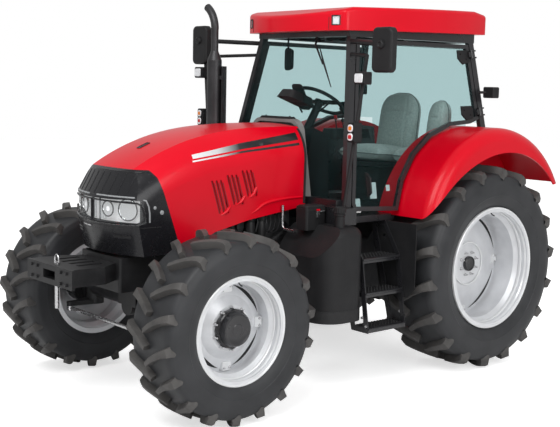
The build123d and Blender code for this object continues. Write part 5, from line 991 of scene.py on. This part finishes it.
roof_lamp = Form()
for sign in (1, -1):
    glass = [across("roof_lamps", sign, (0.495, z), (0.625, z), 8, -0.006) for z in spread(2.806, 2.872, 5)]
    roof_lamp.grid(glass, 0)
    roof_lamp.tube(across("roof", sign, (0.468, 2.765), (0.468, 2.865), 6, 0.0005), 0.0025, 6, 1)
    lamp_edge = across("roof_lamps", sign, (0.493, 2.803), (0.627, 2.803), 10)
    lamp_edge += across("roof_lamps", sign, (0.627, 2.874), (0.493, 2.874), 10)
    roof_lamp.tube(lamp_edge + lamp_edge[:1], 0.004, 8, 1)
roof_lamp.make("roof_lamp_reflectors", [LAMP_WHITE, MATT_BLACK], "chassis")


# Steps, tank, toolbox and carrier fittings

STEP_EDGES = ((0.48, 0.87, 1.05), (0.75, 0.82, 1.01), (1.01, 0.76, 0.97))  # top, inner and outer edge
GRIP_STUD = ((0, 0.007), (0.0065, 0.005), (0.007, 0.002))
for side, sign in SIDES:
    treads = Form()
    for z, inner_y, outer_y in STEP_EDGES:
        for y in spread(inner_y + 0.03, outer_y - 0.03, 5):
            treads.block((0.385, 0.012, 0.007), at(P(1.11, sign * y, z + 0.003)), 0, 0.004)
            for x in spread(0.935, 1.287, 12):
                treads.lathe(GRIP_STUD, at(P(x, sign * y, z + 0.005)), 8, 0)
        nosing = ((0.905, outer_y - 0.004, z - 0.004), (1.315, outer_y - 0.004, z - 0.004))
        treads.tube(run(nosing, sign), 0.011, 12, 1)
    for x in (0.9, 1.32):
        for y, z in ((0.985, 0.56), (1.03, 0.5), (0.72, 1.22), (0.79, 1.15)):
            treads.hex_bolt(at(P(x, sign * y, z), (1 if x > 1 else -1, 0, 0)), 0.011, 2)
    treads.make(f"step_grips_{side}", [CASTING, BLACK, STEEL], "chassis", slot="black_paint")

tank = Form()
neck = at(P(1.514, 0.905, 1.385))
tank.lathe(((-0.004, 0.0465), (0.034, 0.0475), (0.04, 0.043), (0.042, 0.03)), neck, 72, 0, False, 18, 0.03)
tank.lathe(((-0.03, 0.0385), (-0.026, 0.043), (-0.018, 0.043), (-0.014, 0.0385)), neck, 40, 0, True)
band = [(1.318, 0.418), (1.722, 0.418)]
band += [(1.532 + 0.191 * cos(radians(9 * i)), 0.811 + 0.191 * sin(radians(9 * i))) for i in range(11)]
band += [(1.4035 - 0.0875 * sin(radians(9 * i)), 0.9145 + 0.0875 * cos(radians(9 * i))) for i in range(11)]
tank.prism([(REAR_X + x, y) for x, y in band], 0.547, 0.64, at((0, 0, 0)), 1)
tank.make("tank_fittings", [PLASTIC, MATT_BLACK], "chassis", slot="black_plastic")

box = Form()
box.block((0.208, 0.138, 0.02), at(P(1.575, 0.645, 1.385)), 0, 0.022)
box.block((0.2, 0.13, 0.012), at(P(1.575, 0.645, 1.411)), 0, 0.03, 0.9)
box.block((0.03, 0.056, 0.01), at(P(1.558, 0.711, 1.352), (0, 1, 0)), 1, 0.005)
box.block((0.02, 0.026, 0.014), at(P(1.558, 0.714, 1.336), (0, 1, 0)), 2, 0.004)
box.block((0.03, 0.014, 0.016), at(P(1.562, 0.714, 1.384), (0, 1, 0)), 3, 0.004)
box.tube([P(1.5, 0.7, 1.372), P(1.5, 0.722, 1.372), P(1.54, 0.722, 1.372)], 0.004, 8, 1)
box.make("toolbox_lid", [PLASTIC, STEEL, MATT_BLACK, RED], "chassis", bevel=0.002, slot="black_plastic")

plate_low, plate_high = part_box("push_plate")
fittings = Form()
for y in (-0.25, -0.17, 0.17, 0.25):
    for z in (plate_low.z + 0.03, plate_high.z - 0.03):
        fittings.hex_bolt(at((plate_high.x, y, z), (1, 0, 0)), 0.013, 1)
pin_x, pin_top = centre("drawpin").x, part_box("drawpin")[1].z
loop = [(pin_x, 0.03 * cos(a), pin_top + 0.055 * sin(a) - 0.004) for a in spread(0, pi, 11)]
fittings.tube(loop, 0.006, 8, 0)
fittings.make("carrier_bolts", [STEEL, CASTING], "chassis", slot="steel")


# Rear: couplers and the shaft shield

CASE_BACK = REAR_X - 0.33
back = Form()
back.block((0.1, 0.15, 0.05), at((CASE_BACK - 0.02, 0.185, 0.9), (-1, 0, 0)), 0, 0.008)
for y in (0.155, 0.215):
    for k, z in enumerate((0.85, 0.9, 0.95)):
        spot = at((CASE_BACK - 0.045, y, z), (-1, 0, 0))
        back.lathe(((0, 0.018), (0.03, 0.018), (0.034, 0.015)), spot, 20, 1)
        back.lathe(((0.03, 0.02), (0.042, 0.02), (0.046, 0.014)), spot, 20, 2 + k % 2)
shield = [(0.13 * cos(radians(180 - 12 * i)), 0.13 * sin(radians(180 - 12 * i))) for i in range(16)]
shield += [(0.124 * x / 0.13, 0.124 * y / 0.13) for x, y in shield[::-1]]
back.prism(shield, 0, 0.13, at((CASE_BACK, 0, 0.64), (-1, 0, 0)), 0)
back.make("rear_couplers", [CASTING, STEEL, RED, MATT_BLACK], "chassis", bevel=0.0015, slot="black_casting")


# Studio: white backdrop, soft light and the photograph's camera

WORLD_LIGHT = 0.55
FLOOR_GLOW = 0.62
LIGHT_AIM = Vector((0, 0, 1.2))
LIGHTS = (
    # name, place, size, power, shows in gloss
    ("key", (5.5, 3.0, 7.5), 5.0, 420, True),
    ("fill", (1.0, 8.5, 4.5), 5.0, 260, True),
    ("rim", (-6.0, -4.0, 6.0), 4.0, 260, False),
)
CAMERA_AT = (REAR_X + 6.8995, 6.4793, 2.3224)
CAMERA_YAW = radians(-130.676)
CAMERA_PITCH = radians(-7.064)
CAMERA_ROLL = radians(1.256)
FOCAL_PIXELS = 1033.74
IMAGE_WIDTH = 560


def seen_directly(tree, otherwise, strength):
    """Strength for rays that come from the camera or through glass, and another value for the rest."""
    path = tree.nodes.new("ShaderNodeLightPath")
    seen = tree.nodes.new("ShaderNodeMath")
    seen.operation = "MAXIMUM"
    link(tree, path, "Is Camera Ray", seen, 0)
    link(tree, path, "Is Transmission Ray", seen, 1)
    pick = tree.nodes.new("ShaderNodeMapRange")
    settle(pick, to_min=otherwise, to_max=strength)
    link(tree, seen, "Value", pick, "Value")
    return pick


def build_studio():
    """World, floor, lights and camera."""
    scene = bpy.context.scene
    scene.view_settings.view_transform = "Standard"
    world = bpy.data.worlds.new("studio")
    scene.world = world
    world.use_nodes = True
    tree = world.node_tree
    background = tree.nodes["Background"]
    settle(background, color=(1, 1, 1, 1))
    link(tree, seen_directly(tree, WORLD_LIGHT, 1.0), "Result", background, "Strength")

    floor = bpy.data.meshes.new("floor")
    floor.from_pydata([(-30, -30, 0), (30, -30, 0), (30, 30, 0), (-30, 30, 0)], [], [(0, 1, 2, 3)])
    floor_object = bpy.data.objects.new("floor", floor)
    scene.collection.objects.link(floor_object)
    pale = material("floor_white", (0.9, 0.9, 0.9), 0.9, emission_color=(1, 1, 1, 1))
    tree = pale.node_tree
    glow = seen_directly(tree, 0.0, FLOOR_GLOW)
    link(tree, glow, "Result", tree.nodes["Principled BSDF"], "Emission Strength")
    floor.materials.append(pale)

    for name, place, size, power, glossy in LIGHTS:
        data = bpy.data.lights.new(name, "AREA")
        data.size = size
        data.energy = power
        lamp = bpy.data.objects.new(name, data)
        lamp.location = place
        lamp.rotation_euler = (LIGHT_AIM - Vector(place)).to_track_quat("-Z", "Y").to_euler()
        lamp.visible_glossy = glossy
        scene.collection.objects.link(lamp)

    data = bpy.data.cameras.new("camera")
    data.sensor_fit = "HORIZONTAL"
    data.lens = FOCAL_PIXELS / IMAGE_WIDTH * data.sensor_width
    camera = bpy.data.objects.new("camera", data)
    scene.collection.objects.link(camera)
    level_share = cos(CAMERA_PITCH)
    ahead = Vector((level_share * cos(CAMERA_YAW), level_share * sin(CAMERA_YAW), sin(CAMERA_PITCH)))
    level = ahead.cross(Vector((0, 0, 1))).normalized()
    upright = level.cross(ahead)
    right = cos(CAMERA_ROLL) * level + sin(CAMERA_ROLL) * upright
    up = -sin(CAMERA_ROLL) * level + cos(CAMERA_ROLL) * upright
    turn = Matrix((right, up, -ahead)).transposed().to_4x4()
    camera.matrix_world = Matrix.Translation(CAMERA_AT) @ turn
    scene.camera = camera


build_studio()
